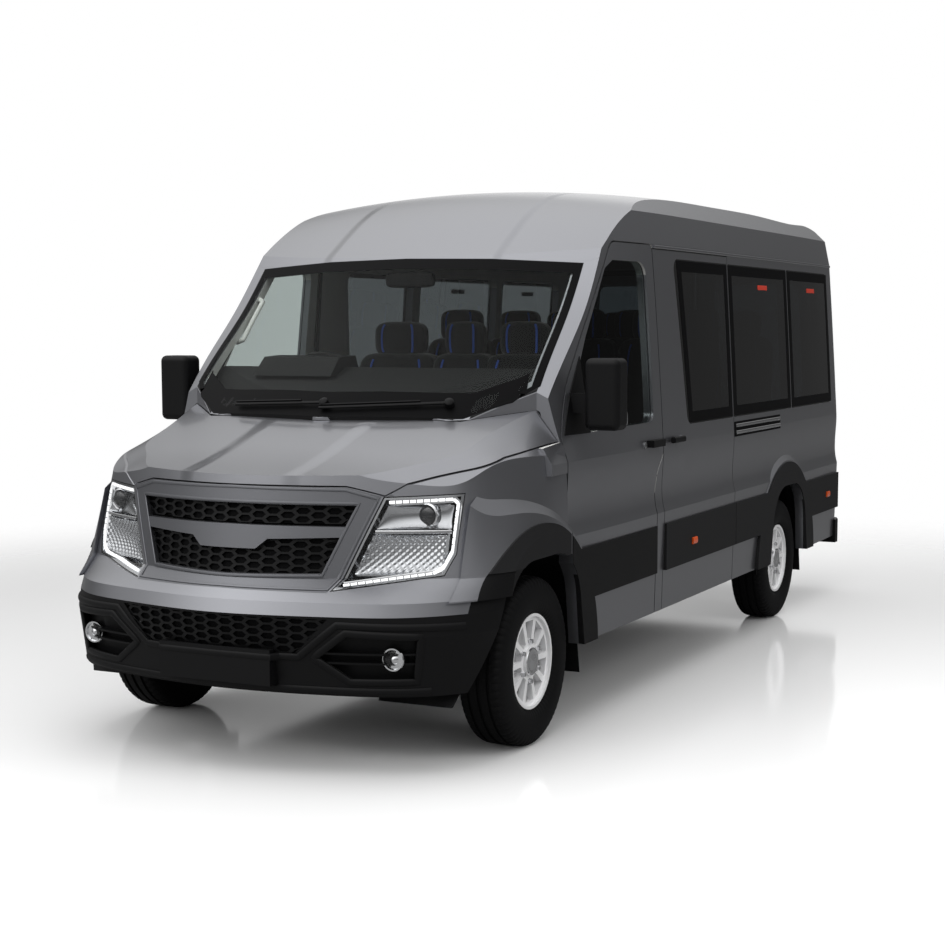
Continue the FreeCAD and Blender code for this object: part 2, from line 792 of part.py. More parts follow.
def bumper(z0, z1):
    panel = nose_shell.common(box(-far, far, nose_y - overrun, front_axle_y, z0, z1))
    panel = panel.cut(grille_space).cut(headlamp_space)
    panel = panel.cut(front_form(intake_shares, 0))
    return panel.cut(pair(side_front_form(fog_shares, 0)))


wing_space = pair(x_cylinder(clad_radius_share * tyre_radius + seat_gap, 0, side_reach,
                             front_axle_y + clad_centre_share * tyre_radius, axle_z))


def bumper_lower():
    holder = box(-plate_half_length, plate_half_length, plate_y + sheet + seat_gap, plate_y + plate_holder_depth,
                 plate_low_z, plate_high_z).cut(nose_plain)
    wing = bumper(0, bumper_seam_z - seat_gap).common(arch_wing)
    return bumper(0, ridge_z - seat_gap / 2).multiFuse([holder, wing])


def radiator():
    """Radiator with the lock carrier on it and two rubber buffers for the bonnet."""
    y0 = station(cross_y_shares[0]) - radiator_thickness / 2
    y1 = y0 + radiator_thickness
    core = box(-radiator_half_width, radiator_half_width, y0, y1, rail_high_z + seat_gap, radiator_top_z)
    under = nose(skin + seat_gap, overrun)
    buffers = [
        z_cylinder(buffer_radius, x, (y0 + y1) / 2, radiator_top_z - trim, far).common(under)
        for x in (-buffer_x, buffer_x)
    ]
    return fused([core] + buffers)


def headlamp():
    """Lamp bowl behind the lens, open to the front, with its two round lamps."""
    shell = lamp_body.cut(pushed(lamp_body, lamp_bowl)).common(side_front_form(headlamp_shares, -sheet))
    hollow = nose_plain.cut(pushed(lamp_body, lamp_bowl - lamp_wall))
    return shell.cut(hollow.common(side_front_form(headlamp_shares, -sheet - lamp_wall))).cut(grille_space)


def headlamp_lens():
    return nose_plain.cut(nose(sheet, overrun)).common(headlamp_form).cut(grille_space)


def fog_lamp():
    """Pod closed at the back, with a round lamp and two bars across it."""
    form = side_front_form(fog_shares, -seat_gap)
    back = pushed(nose_plain, fog_depth).cut(pushed(nose_plain, fog_depth + trim))
    back = back.common(side_front_form(fog_shares, trim))
    x, z = fog_lamp_share[0] * half_width, fog_lamp_share[1] * body_height
    lamp = Part.makeCylinder(fog_radius, far, Vector(x, -far, z), Vector(0, 1, 0))
    lamp = lamp.common(pushed(nose_plain, trim).cut(pushed(nose_plain, fog_depth + fog_bar)))
    bars = [
        pushed(nose_plain, sheet).cut(pushed(nose_plain, fog_depth + fog_bar)).common(form).common(
            box(0, far, -far, front_reach, height - fog_bar / 2, height + fog_bar / 2))
        for height in (z - fog_radius / 2, z + fog_radius / 2)
    ]
    return fused([back, lamp] + bars)


# Cladding along the sides and round the wheel openings
clad_face_x = half_width
clad_front_face_x = 1041.0
clad_root_x = 900.0


def strip(y0, y1, face_x):
    return box(clad_root_x, face_x, y0, y1, cladding_bottom_z, cladding_top_z)


def ring(axle_y, shares, face_x):
    """Wide ring round a wheel opening."""
    disc = x_cylinder(clad_radius_share * tyre_radius, clad_root_x, face_x,
                      axle_y + clad_centre_share * tyre_radius, axle_z)
    upper = disc.common(box(0, far, -far, far, sill_z, far))
    return upper.cut(arch_prism(axle_y, shares, 0, far, 0))


front_ring = ring(front_axle_y, front_arch_shares, clad_front_face_x)
rear_ring = ring(rear_axle_y, rear_arch_shares, clad_face_x)
clad_seam_y = door_front_y - door_front_gap - seal_depth


def door_cladding():
    """Cladding of the front door, with its part of the ring."""
    strips = strip(front_axle_y, door_rear_y - seal_width, clad_front_face_x)
    opening = arch_prism(front_axle_y, front_arch_shares, 0, far, 0)
    whole = strips.fuse(front_ring).cut(opening).cut(cabin_outer)
    return whole.common(box(0, far, door_front_y, door_outline[-1][0] - shut_gap, 0, far))


def fixed_cladding():
    """Cladding of the fender, the sliding door and the side behind it."""
    fender_part = front_ring.common(box(0, far, nose_y, clad_seam_y, bumper_seam_z, far))
    pieces = [fender_part.common(nose(-ring_stand, 0)).cut(nose_outer)]
    rear = strip(slide_rear_y + shut_gap / 2, bumper_front_y, clad_face_x).fuse(rear_ring)
    rear = rear.cut(arch_prism(rear_axle_y, rear_arch_shares, 0, far, 0)).cut(cabin_outer)
    middle = strip(slide_front_y + shut_gap / 2, slide_rear_y - shut_gap / 2, clad_face_x).cut(cabin_outer)
    return pieces + [middle, rear.common(box(0, far, slide_rear_y + shut_gap / 2, tail_y, 0, far))]


# Mirrors and door handles
mirror_low_z, mirror_high_z = 1316.0, 1628.0
mirror_inner_x, mirror_outer_x = 1040.0, 1200.0
mirror_front_share, mirror_rear_share = 0.100, 0.136
mirror_arm_low_z, mirror_arm_high_z = 1390.0, 1475.0
mirror_rounding = 28.0
handle_front_share, handle_rear_share = 0.330, 0.374
handle_low_z, handle_high_z = 1188.0, 1222.0
handle_stand = 34.0
sail_shares = [(0.078, 0.5240), (0.112, 0.6000), (0.145, 0.6600), (0.147, 0.5240)]


def door_fittings():
    """Mirror on its black corner piece, and the pull handle."""
    y0, y1 = station(mirror_front_share), station(mirror_rear_share)
    head = box(mirror_inner_x, mirror_outer_x, y0, y1, mirror_low_z, mirror_high_z)
    head = head.makeFillet(mirror_rounding, head.Edges)
    inset_y = (y1 - y0) / 4
    arm = box(clad_root_x, mirror_inner_x + mirror_rounding, y0 + inset_y, y1 - inset_y,
              mirror_arm_low_z, mirror_arm_high_z)
    sail = cabin_layer(side_prism(side_points(sail_shares), 0, 0, side_reach), -sheet, 0)
    arm = arm.cut(cabin_plain)
    handle_x = half_width * cabin_width_shares[2]
    handle = box(handle_x - wall, handle_x + handle_stand, station(handle_front_share),
                 station(handle_rear_share), handle_low_z, handle_high_z).cut(cabin_outer)
    return [fused([head, arm, sail]), handle]


# Floor, bulkhead and wheel housings
floor_thickness = 40.0
bulkhead_y = -1800.0
bulkhead_thickness = 15.0
bulkhead_top_z = 1340.0
shelf_half_width = 580.0
door_clearance = 12.0
liner_thickness = 5.0
front_liner_share, rear_liner_share = 0.522, 0.708
front_liner_shares = [(-1.68, -0.355), (-0.95, 1.28), (0.95, 1.28), (1.27, -0.355)]
rear_liner_shares = [(-1.27, -0.355), (-0.92, 1.28), (0.92, 1.28), (1.22, -0.355)]
liner_wall_low_shares = [1.472, 1.194]
flap_width = 150.0


def liner(axle_y, shares, inner_share, wall_low_share):
    """Wheel housing: a tunnel with an inner wall, open below."""
    inner_x = inner_share * half_width
    outer = arch_prism(axle_y, shares, inner_x, side_reach, liner_thickness)
    hollow = arch_prism(axle_y, shares, inner_x + liner_thickness, side_reach, 0)
    return outer.cut(hollow).cut(
        box(0, inner_x + 2 * liner_thickness, -far, far, 0, wall_low_share * tyre_radius).common(
            box(0, inner_x + liner_thickness, -far, far, 0, far)))


def housing_room(axle_y, shares, inner_share):
    """Space that a wheel housing takes up, with the gap round it."""
    inner_x = inner_share * half_width - seat_gap
    return arch_prism(axle_y, shares, inner_x, side_reach, liner_thickness + seat_gap)


def housings():
    """Wheel housings with the mud flaps that hang from their rear edges."""
    front = liner(front_axle_y, front_liner_shares, front_liner_share, liner_wall_low_shares[0])
    rear = liner(rear_axle_y, rear_liner_shares, rear_liner_share, liner_wall_low_shares[1])
    in_nose = nose(skin + seat_gap, overrun).common(box(0, far, nose_y, door_front_y - door_front_gap, 0, far))
    in_cab = cabin(wall + door_clearance, 0, 0, overrun).common(
        box(0, far, door_front_y - door_front_gap, 0, 0, far))
    flap_x = wheel_plane_x + tyre_width / 2
    flaps = [
        whole.common(box(flap_x - flap_width, flap_x, axle_y, axle_y + half_width, 0, sill_z))
        for whole, axle_y in ((front, front_axle_y), (rear, rear_axle_y))
    ]
    return [front.common(in_nose.fuse(in_cab)).fuse(flaps[0]),
            rear.common(cabin(wall + seat_gap, 0, 0, overrun)).fuse(flaps[1])]


screen_frame = front_frame()


def floor_pan():
    inside = cabin(wall + seat_gap, 0, 0, overrun)
    plate = box(-far, far, bulkhead_y, rear_face_y - wall - seat_gap, floor_z - floor_thickness, floor_z)
    plate = plate.common(inside)
    narrow = cabin(wall + door_clearance, 0, 0, overrun)
    by_doors = box(-far, far, bulkhead_y - bulkhead_thickness, door_rear_y + door_rear_gap, 0, far)
    plate = plate.cut(by_doors.cut(narrow))
    shelf = box(-shelf_half_width, shelf_half_width, station(frame_front_share), bulkhead_y,
                bulkhead_top_z - 2 * bulkhead_thickness, bulkhead_top_z)
    upright = box(-far, far, bulkhead_y - bulkhead_thickness, bulkhead_y,
                  floor_z - floor_thickness, bulkhead_top_z)
    shelf = shelf.common(nose(skin + door_clearance, overrun)).cut(ahead_of_frame)
    upright = upright.common(narrow)
    whole = fused([plate, upright, shelf]).cut(bonnet_space).cut(screen_frame)
    for axle_y, shares, share in [(front_axle_y, front_liner_shares, front_liner_share),
                                  (rear_axle_y, rear_liner_shares, rear_liner_share)]:
        whole = whole.cut(pair(housing_room(axle_y, shares, share)))
    return whole


ahead_of_frame = windscreen_surface(0).extrude(Vector(0, screen_setback, 0))

# Chassis
rail_inner_x, rail_outer_x = 380.0, 450.0
rail_low_z = 520.0
rail_high_z = floor_z - floor_thickness - seat_gap
rail_wall = 6.0
cross_y_shares = [-0.70, 0.54, 0.70, 1.45, 1.88]
cross_width = 60.0
tank_half_width, tank_low_z = 300.0, 330.0
tank_front_share, tank_rear_share = 0.50, 0.74
pipe_radius = 28.0
silencer_radius = 90.0
pipe_z = 400.0
pipe_x = 560.0
pipe_front_share, pipe_rear_share = 0.30, 0.88


def chassis():
    """Two channel rails with cross members, the fuel tank and the exhaust."""
    rail_end_y = rear_face_y - wall - door_clearance
    rail = box(rail_inner_x, rail_outer_x, nose_y, rail_end_y, rail_low_z, rail_high_z)
    hollow = box(rail_inner_x - rail_wall, rail_outer_x - rail_wall, nose_y, tail_y,
                 rail_low_z + rail_wall, rail_high_z - rail_wall)
    rail = rail.cut(hollow)
    front = nose(wall + trim, overrun).fuse(box(0, far, front_axle_y, tail_y, 0, far))
    rail = rail.common(front)
    members = [
        box(-rail_outer_x, rail_outer_x, station(along) - cross_width / 2, station(along) + cross_width / 2,
            rail_low_z, rail_high_z)
        for along in cross_y_shares
    ]
    tank = box(-tank_half_width, tank_half_width, station(tank_front_share), station(tank_rear_share),
               tank_low_z, rail_high_z)
    tank = tank.makeFillet(wall, [edge for edge in tank.Edges if edge.BoundBox.YLength > wall])
    pipe = Part.makeCylinder(pipe_radius, station(pipe_rear_share) - station(pipe_front_share),
                             Vector(pipe_x, station(pipe_front_share), pipe_z), Vector(0, 1, 0))
    silencer = Part.makeCylinder(silencer_radius, silencer_length,
                                 Vector(pipe_x, station(tank_front_share), pipe_z), Vector(0, 1, 0))
    hanger = box(rail_outer_x - rail_wall, pipe_x + hanger_width / 2, station(tank_front_share) + hanger_width,
                 station(tank_front_share) + 2 * hanger_width, pipe_z, rail_low_z + rail_wall)
    bracket = box(rail_inner_x, rail_outer_x, rail_end_y - cross_width, rail_end_y,
                  bumper_top_z + seat_gap, rail_low_z + rail_wall)
    pads = [
        box(side * rail_middle_x - pad_half, side * rail_middle_x + pad_half, y - pad_half, y + pad_half,
            rail_low_z - pad_depth, rail_low_z + rail_wall)
        for side in (-1, 1) for y in (pad_front_y, pad_rear_y)
    ]
    bodies = [rail, mirrored(rail), bracket, mirrored(bracket), tow_eye(), pipe, silencer, hanger, tank]
    return fused(bodies + pads + members)


def tow_eye():
    """Level plate with a pin hole, on a web under the rail."""
    x0, x1 = rail_middle_x - eye_plate_half, rail_middle_x + eye_plate_half
    y0, y1 = eye_y - eye_plate_half, eye_y + eye_plate_half
    plate = box(x0, x1, y0, y1, eye_z - eye_thickness, eye_z)
    web = box(x1 - trim, x1, y0, y1, eye_z - eye_thickness, rail_low_z + rail_wall)
    hole = z_cylinder(eye_radius, rail_middle_x - eye_offset, eye_y, 0, rail_low_z)
    return plate.fuse(web).cut(hole)


silencer_length = 620.0
hanger_width = 40.0
rail_middle_x = (rail_inner_x + rail_outer_x) / 2
pad_half, pad_depth = 30.0, 8.0
pad_front_y, pad_rear_y = -1200.0, 950.0
eye_radius, eye_thickness, eye_plate_half, eye_offset = 15.0, 18.0, 40.0, 8.0
eye_y, eye_z = 2690.0, 440.0

# Front axle: subframe, arms and knuckles
frame_half_length = 72.0
frame_reach_x = 560.0
lower_arm_z = 215.0
knuckle_low_z, knuckle_high_z = 250.0, 470.0
arm_half_width = 25.0
arm_thickness = 34.0
knuckle_inner_x, knuckle_outer_x = 778.0, 812.0
knuckle_half_length = 32.0
hub_face_x = 835.0
hub_radius = 62.0
pin_radius = 14.0
tower_outer_x = 480.0


def subframe():
    y0, y1 = front_axle_y - frame_half_length, front_axle_y + frame_half_length
    beam = box(-frame_reach_x, frame_reach_x, y0, y1, lower_arm_z, knuckle_low_z + frame_half_length)
    pieces = [beam]
    for side in (-1, 1):
        tower = box(rail_inner_x, tower_outer_x, y0, y1, lower_arm_z, rail_low_z - seat_gap)
        low = box(frame_reach_x - arm_half_width, kingpin_x + arm_half_width, front_axle_y - arm_half_width,
                  front_axle_y + arm_half_width, lower_arm_z, knuckle_low_z - seat_gap)
        high = box(tower_outer_x - arm_half_width, kingpin_x + arm_half_width,
                   front_axle_y - arm_half_width, front_axle_y + arm_half_width,
                   knuckle_high_z + seat_gap, knuckle_high_z + seat_gap + arm_thickness)
        pieces += [mirrored(piece) if side < 0 else piece for piece in (tower, low, high)]
    return fused(pieces)


def knuckle():
    block = box(knuckle_inner_x, knuckle_outer_x, front_axle_y - knuckle_half_length,
                front_axle_y + knuckle_half_length, knuckle_low_z, knuckle_high_z)
    hub = x_cylinder(hub_radius, knuckle_outer_x - sheet, hub_face_x - seat_gap, front_axle_y, axle_z)
    return block.fuse(hub)


# Rear axle
beam_radius = 42.0
spring_x, spring_width, spring_thickness = 640.0, 70.0, 24.0
spring_reach = 620.0
shackle_length = 50.0


def rear_axle():
    beam = x_cylinder(beam_radius, -hub_face_x + seat_gap, hub_face_x - seat_gap, rear_axle_y, axle_z)
    pieces = [beam]
    for x in (-spring_x, spring_x):
        x0, x1 = x - spring_width / 2, x + spring_width / 2
        low_z = axle_z + beam_radius - sheet
        pieces.append(box(x0, x1, rear_axle_y - spring_reach, rear_axle_y + spring_reach,
                          low_z, low_z + spring_thickness))
        for end in (-1, 1):
            y = rear_axle_y + end * (spring_reach - shackle_length / 2)
            pieces.append(box(x0, x1, y - shackle_length / 2, y + shackle_length / 2, low_z, rail_high_z))
    return fused(pieces)


# Wheels
tyre_profile_shares = [
    (-0.744, 0.566), (-0.967, 0.640), (-1.0, 0.760), (-0.960, 0.900), (-0.830, 0.972), (-0.45, 0.998),
    (0.45, 0.998), (0.830, 0.972), (0.960, 0.900), (1.0, 0.760), (0.967, 0.640), (0.744, 0.566),
]
rim_half_width = 86.0
rim_wall = 13.0
dish_outer_x = 948.0
dish_thickness = 26.0
window_count = 10
window_inner_share, window_outer_share = 0.44, 0.93
window_inner_turn, window_outer_turn = 10.0, 13.5
cap_radius, cap_stand = 62.0, 12.0
disc_radius, disc_thickness = 150.0, 24.0


def turned(points, x_centre, axle_y):
    """Solid of revolution about a wheel's axis, from (offset along the axis, radius) points."""
    corners = [Vector(x_centre + along, axle_y, axle_z + radius) for along, radius in points]
    face = Part.Face(Part.makePolygon(corners + corners[:1]))
    return face.revolve(Vector(0, axle_y, axle_z), Vector(1, 0, 0), 360)


def tyre(axle_y):
    points = [(along * tyre_width / 2, up * tyre_radius) for along, up in tyre_profile_shares]
    points[5] = (points[5][0], tyre_radius)
    points[6] = (points[6][0], tyre_radius)
    return turned(points, wheel_plane_x, axle_y)


def rim(axle_y):
    """Rim barrel, spoked dish, hub and brake disc."""
    outer_radius = rim_radius
    inner_radius = rim_radius - rim_wall
    barrel = turned([(-rim_half_width, inner_radius), (-rim_half_width, outer_radius),
                     (rim_half_width, outer_radius), (rim_half_width, inner_radius)], wheel_plane_x, axle_y)
    dish = x_cylinder(inner_radius + sheet, dish_outer_x - dish_thickness, dish_outer_x, axle_y, axle_z)
    r0, r1 = window_inner_share * inner_radius, window_outer_share * inner_radius
    a0, a1 = math.radians(window_inner_turn), math.radians(window_outer_turn)
    window = side_prism(
        [(-r0 * math.sin(a0), r0 * math.cos(a0)), (-r1 * math.sin(a1), r1 * math.cos(a1)),
         (r1 * math.sin(a1), r1 * math.cos(a1)), (r0 * math.sin(a0), r0 * math.cos(a0))],
        0, dish_outer_x - 2 * dish_thickness, dish_outer_x + dish_thickness)
    for i in range(window_count):
        cutter = window.copy()
        cutter.rotate(Vector(0, 0, 0), Vector(1, 0, 0), i * 360 / window_count)
        cutter.translate(Vector(0, axle_y, axle_z))
        dish = dish.cut(cutter)
    hub = x_cylinder(cap_radius, hub_face_x, dish_outer_x + cap_stand, axle_y, axle_z)
    disc = x_cylinder(disc_radius, hub_face_x, hub_face_x + disc_thickness, axle_y, axle_z)
    return fused([barrel, dish, hub, disc])


# Cab fittings
dash_shares = [
    (0.013, 0.5416), (0.030, 0.5939), (0.107, 0.6384), (0.132, 0.6303), (0.143, 0.5778),
    (0.138, 0.4040), (0.085, 0.3475), (0.052, 0.3475), (0.052, 0.5416),
]
hood_shares = [(0.068, 0.6222), (0.091, 0.6566), (0.132, 0.6594), (0.143, 0.6222)]
hood_half_width = 210.0
driver_x = -370.0
wheel_y, wheel_z = -1358.0, 1490.0
column_tilt = 40.0
steering_radius = 190.0
grip_radius = 14.0
boss_radius, boss_depth = 62.0, 40.0
column_radius = 32.0
column_length = 260.0
spoke_width = 34.0
screen_clearance = 25.0


def along_column(shape):
    """From the wheel's own frame, with its axis upright, to its place on the column."""
    shape.rotate(Vector(0, 0, 0), Vector(1, 0, 0), column_tilt - 90)
    shape.translate(Vector(driver_x, wheel_y, wheel_z))
    return shape


def steering_wheel():
    grip = Part.makeTorus(steering_radius, grip_radius)
    boss = z_cylinder(boss_radius, 0, 0, -boss_depth, 0)
    half = spoke_width / 2
    arms = [
        box(-steering_radius, steering_radius, -half, half, -boss_depth / 2, -boss_depth / 4),
        box(-half, half, -steering_radius, 0, -boss_depth / 2, -boss_depth / 4),
    ]
    return along_column(fused([grip, boss] + arms))


def dashboard():
    inside = cabin(wall + door_clearance, 0, screen_setback + screen_clearance, 0)
    board = side_prism(side_points(dash_shares), 0, -far, far).common(inside).cut(bonnet_room)
    beside = box(pillar_foot_share * half_width - wall, far, -far, door_front_y, 0, far)
    board = board.cut(pair(beside))
    hood = side_prism(side_points(hood_shares), 0, driver_x - hood_half_width, driver_x + hood_half_width)
    column = along_column(z_cylinder(column_radius, 0, 0, -boss_depth - seat_gap - column_length,
                                     -boss_depth - seat_gap))
    return fused([board, hood.common(inside), column])


# Seats: cushion, back and head restraint as (y, z) profiles from the cushion's rear corner
cab_seat_x_shares = [-0.354, 0.0, 0.318]
cab_seat_width_shares = [0.46, 0.34, 0.42]
cab_seat_y, seat_z = -760.0, 1010.0
seat_length, seat_rise = 500.0, 140.0
back_height, back_depth, back_lean = 620.0, 130.0, 90.0
head_height, head_depth, head_width_share = 190.0, 90.0, 0.62
head_gap = 20.0
seat_rounding = 30.0
pedestal_inset = 60.0
row_stations_shares = [0.60, 0.82, 1.04]
back_row_share = 1.62
single_x_share, double_x_share = -0.47, 0.24
passenger_width = 420.0
passenger_seat_z = 1080.0


def seat(x, y, z, width):
    """One seat: cushion, leaning back and head restraint."""
    x0, x1 = x - width / 2, x + width / 2
    cushion = side_prism([(y - seat_length, z - seat_rise), (y - seat_length, z), (y, z), (y, z - seat_rise)],
                         seat_rounding, x0, x1)
    top_y = y + back_lean
    back = side_prism(
        [(y - back_depth / 2, z - seat_rise / 2), (top_y - back_depth / 2, z + back_height),
         (top_y + back_depth / 2, z + back_height), (y + back_depth / 2, z - seat_rise / 2)],
        seat_rounding, x0, x1)
    head_z = z + back_height - seat_rounding
    head = side_prism(
        [(top_y - head_depth / 2, head_z), (top_y - head_depth / 2, head_z + head_height),
         (top_y + head_depth / 2, head_z + head_height), (top_y + head_depth / 2, head_z)],
        seat_rounding, x - width * head_width_share / 2, x + width * head_width_share / 2)
    return fused([cushion, back, head])


def pedestal(x, y, z, width):
    base = box(x - width / 2 + pedestal_inset, x + width / 2 - pedestal_inset,
               y - seat_length + pedestal_inset, y - pedestal_inset,
               floor_z + seat_gap, z - seat_rise - seat_gap)
    return base.cut(housing_room(rear_axle_y, rear_liner_shares, rear_liner_share))


def cab_seat_places():
    return [
        (across * half_width, cab_seat_y, seat_z, width * half_width)
        for across, width in zip(cab_seat_x_shares, cab_seat_width_shares)
    ]


def passenger_places():
    places = []
    for along in row_stations_shares:
        inner_x = double_x_share * half_width
        for x in (single_x_share * half_width, inner_x, inner_x + passenger_width + seat_gap):
            places.append((x, station(along), passenger_seat_z, passenger_width))
    last = 3
    for i in range(last):
        x = (i - (last - 1) / 2) * (passenger_width + seat_gap)
        places.append((x, station(back_row_share), passenger_seat_z, passenger_width))
    return places


# Engine, radiator and bumpers
engine_half_width = 280.0
engine_front_y, engine_rear_y = -2480.0, -1850.0
engine_high_z = 1000.0
radiator_half_width, radiator_thickness = 300.0, 40.0
radiator_top_z = 1000.0
rear_bumper_low_z = 330.0
rear_bumper_shares = [(0.0, 2.0), (0.80, 2.0), (0.955, 1.975), (0.985, 1.91), (0.985, 1.861)]
rear_bumper_thickness = 45.0
rear_opening_x = 900.0
buffer_radius, buffer_x = 15.0, 220.0


def engine_block():
    low_z = knuckle_low_z + frame_half_length + seat_gap
    return box(-engine_half_width, engine_half_width, engine_front_y, engine_rear_y, low_z, engine_high_z)


def rear_bumper():
    half = [(x * half_width, station(along)) for x, along in rear_bumper_shares]
    outer = plan_prism(both_sides(half), 0, rear_bumper_low_z, bumper_top_z - seat_gap)
    inner = grown(both_sides(half), -rear_bumper_thickness)
    hollow = plan_prism(inner, 0, 0, bumper_top_z - trim)
    ahead = box(-rear_opening_x, rear_opening_x, bumper_front_y - rear_bumper_thickness,
                bumper_front_y + 2 * rear_bumper_thickness, 0, bumper_top_z - trim)
    return outer.cut(hollow).cut(ahead)


def seals():
    """Rubber strips inside the edges of all the doors."""
    above = box(0, side_reach, -far, far, floor_z + seat_gap, far)
    band = cabin(wall + seat_gap, roof_wall + seat_gap, screen_setback, overrun).common(above)
    band = band.cut(cabin(wall + seal_depth, 0, 0, overrun))
    band = band.cut(housing_room(front_axle_y, front_liner_shares, front_liner_share))
    outline = door_outline
    door_ring = side_prism(grown(outline, seal_width), 0, 0, side_reach).cut(
        side_prism(grown(outline, -seal_width), 0, 0, side_reach))
    slide_ring = slide_prism(seal_width).cut(
        box(0, side_reach, slide_front_y + seal_width, slide_rear_y - seal_width, 0, slide_top_z - seal_width))
    left = band.common(door_ring.fuse(slide_ring))
    right = band.common(door_ring)
    rear_ring_form = rear_door_form(seal_width).cut(rear_door_form(-seal_width))
    rear = rear_ring_form.common(box(seal_width, far, rear_face_y - wall - seal_depth,
                                     rear_face_y - wall - seat_gap, floor_z + seat_gap, far))
    rear = rear.common(cabin(wall + seat_gap, roof_wall, screen_setback, overrun))
    return [left, mirrored(right), rear, mirrored(rear)]


# Every piece, in the order in which the vehicle is put together
os.makedirs("parts", exist_ok=True)
save("chassis", chassis())
save("floor_pan", floor_pan())
save("wheel_housings", pair(Part.makeCompound(housings())))
save("front_subframe", subframe())
save("rear_axle", rear_axle())
save("engine_block", engine_block())
save("radiator", radiator())
save("knuckle_left", knuckle())
save("knuckle_right", mirrored(knuckle()))
for name, axle_y in (("front", front_axle_y), ("rear", rear_axle_y)):
    for part, shape in (("rim", rim(axle_y)), ("tyre", tyre(axle_y))):
        save(name + "_left_" + part, shape)
        save(name + "_right_" + part, mirrored(shape))
save("side_panel_left", side_panel(True))
save("side_panel_right", mirrored(side_panel(False)))
save("sliding_door", left_wall.common(slide_prism(0)))
save("side_windows", pair(Part.makeCompound(panes)))
save("roof_panel", roof_panel())
save("front_frame", screen_frame)
save("windscreen", screen_layer.common(screen_form(0)))
save("fenders", fenders())
save("bonnet", bonnet_panel)
save("grille_frame", grille_frame())
save("grille_mesh", Part.makeCompound([
    mesh_in(grille_hole_shares, mesh_setback).cut(front_form(grille_bar_shares, seat_gap)),
    mesh_in(intake_shares, skin - mesh_thickness),
]))
save("bumper_upper", bumper(ridge_z + seat_gap / 2, bumper_seam_z - seat_gap).cut(wing_space))
save("bumper_lower", bumper_lower())
save("headlamps", pair(headlamp()))
save("headlamp_lenses", pair(headlamp_lens()))
save("fog_lamps", pair(fog_lamp()))
save("number_plate", box(-plate_half_length, plate_half_length, plate_y, plate_y + sheet, plate_low_z, plate_high_z))
save("side_cladding", pair(Part.makeCompound(fixed_cladding())))
save("rear_bumper", rear_bumper())
save("tail_lamps", pair(cabin_outer.common(tail_lamp_form)))
save("door_seals", Part.makeCompound(seals()))
for door, ending, shape in (
    ("front_door_", "", front_door()),
    ("front_door_", "_glass", door_pane),
    ("front_door_", "_trim", Part.makeCompound([door_cladding()] + door_fittings())),
    ("rear_door_", "", rear_door()),
    ("rear_door_", "_glass", rear_glass()),
):
    save(door + "left" + ending, shape)
    save(door + "right" + ending, mirrored(shape))
save("dashboard", dashboard())
save("steering_wheel", steering_wheel())
save("cab_seats", Part.makeCompound([seat(*place) for place in cab_seat_places()]))
save("passenger_seats", Part.makeCompound([seat(*place) for place in passenger_places()]))
save("seat_pedestals", Part.makeCompound([pedestal(*place) for place in cab_seat_places() + passenger_places()]))
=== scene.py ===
from math import copysign, cos, exp, pi, radians, sin, tau

import bmesh
import bpy
from mathutils import Matrix, Vector
from mathutils.bvhtree import BVHTree


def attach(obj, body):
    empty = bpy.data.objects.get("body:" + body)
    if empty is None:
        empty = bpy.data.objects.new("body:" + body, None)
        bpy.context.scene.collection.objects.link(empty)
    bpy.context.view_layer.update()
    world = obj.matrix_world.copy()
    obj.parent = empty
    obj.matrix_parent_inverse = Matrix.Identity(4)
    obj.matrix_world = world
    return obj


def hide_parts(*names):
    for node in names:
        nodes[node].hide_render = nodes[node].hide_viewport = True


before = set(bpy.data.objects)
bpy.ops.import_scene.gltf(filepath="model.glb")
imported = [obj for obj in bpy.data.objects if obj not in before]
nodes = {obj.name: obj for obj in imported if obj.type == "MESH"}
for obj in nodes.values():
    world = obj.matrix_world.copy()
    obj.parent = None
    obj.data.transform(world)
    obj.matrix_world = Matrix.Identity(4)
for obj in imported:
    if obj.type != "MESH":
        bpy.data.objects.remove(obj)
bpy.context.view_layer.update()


# Studio: a white sweep with a pale satin floor, lit by the bright room and by wide softboxes.
# The camera stands low off the vehicle's front left corner, as a photographer would.
camera_place = Vector((3.912, -8.549, 1.766))
camera_yaw, camera_pitch, camera_roll = 26.2087, 5.7839, -0.1362
sensor_mm, camera_reach = 36.0, 200.0
focal_pixels, picture_pixels, centre_drop_pixels = 1729.873, 945.0, 29.035
floor_white, floor_reflected = "#FFFFFF", "#808080"
floor_size, floor_fade_start, floor_fade_end = 80.0, 3.4, 7.5
smooth = {"interpolation_type": "SMOOTHSTEP"}
plus, times = {"operation": "ADD"}, {"operation": "MULTIPLY"}


def linear(colour):
    """An sRGB hex value as the linear RGBA that Blender's sockets take."""
    parts = [int(colour[i:i + 2], 16) / 255 for i in (1, 3, 5)]
    return tuple(c / 12.92 if c <= 0.04045 else ((c + 0.055) / 1.055) ** 2.4 for c in parts) + (1.0,)


def add_node(tree, kind, settings=None, **inputs):
    """Adds a node. Settings are its properties; an input is a value, a socket, or a node whose first
    output feeds it."""
    node = tree.nodes.new("ShaderNode" + kind)
    for name, value in (settings or {}).items():
        setattr(node, name, value)
    for name, value in inputs.items():
        key = int(name[1:]) if name[0] == "_" and name[1:].isdigit() else name.replace("_", " ")
        if isinstance(value, bpy.types.Node):
            value = value.outputs[0]
        if isinstance(value, bpy.types.NodeSocket):
            tree.links.new(value, node.inputs[key])
        else:
            node.inputs[key].default_value = value
    return node


def new_material(name):
    """An empty node material and its tree."""
    material = bpy.data.materials.new(name)
    material.use_nodes = True
    material.node_tree.nodes.clear()
    return material, material.node_tree


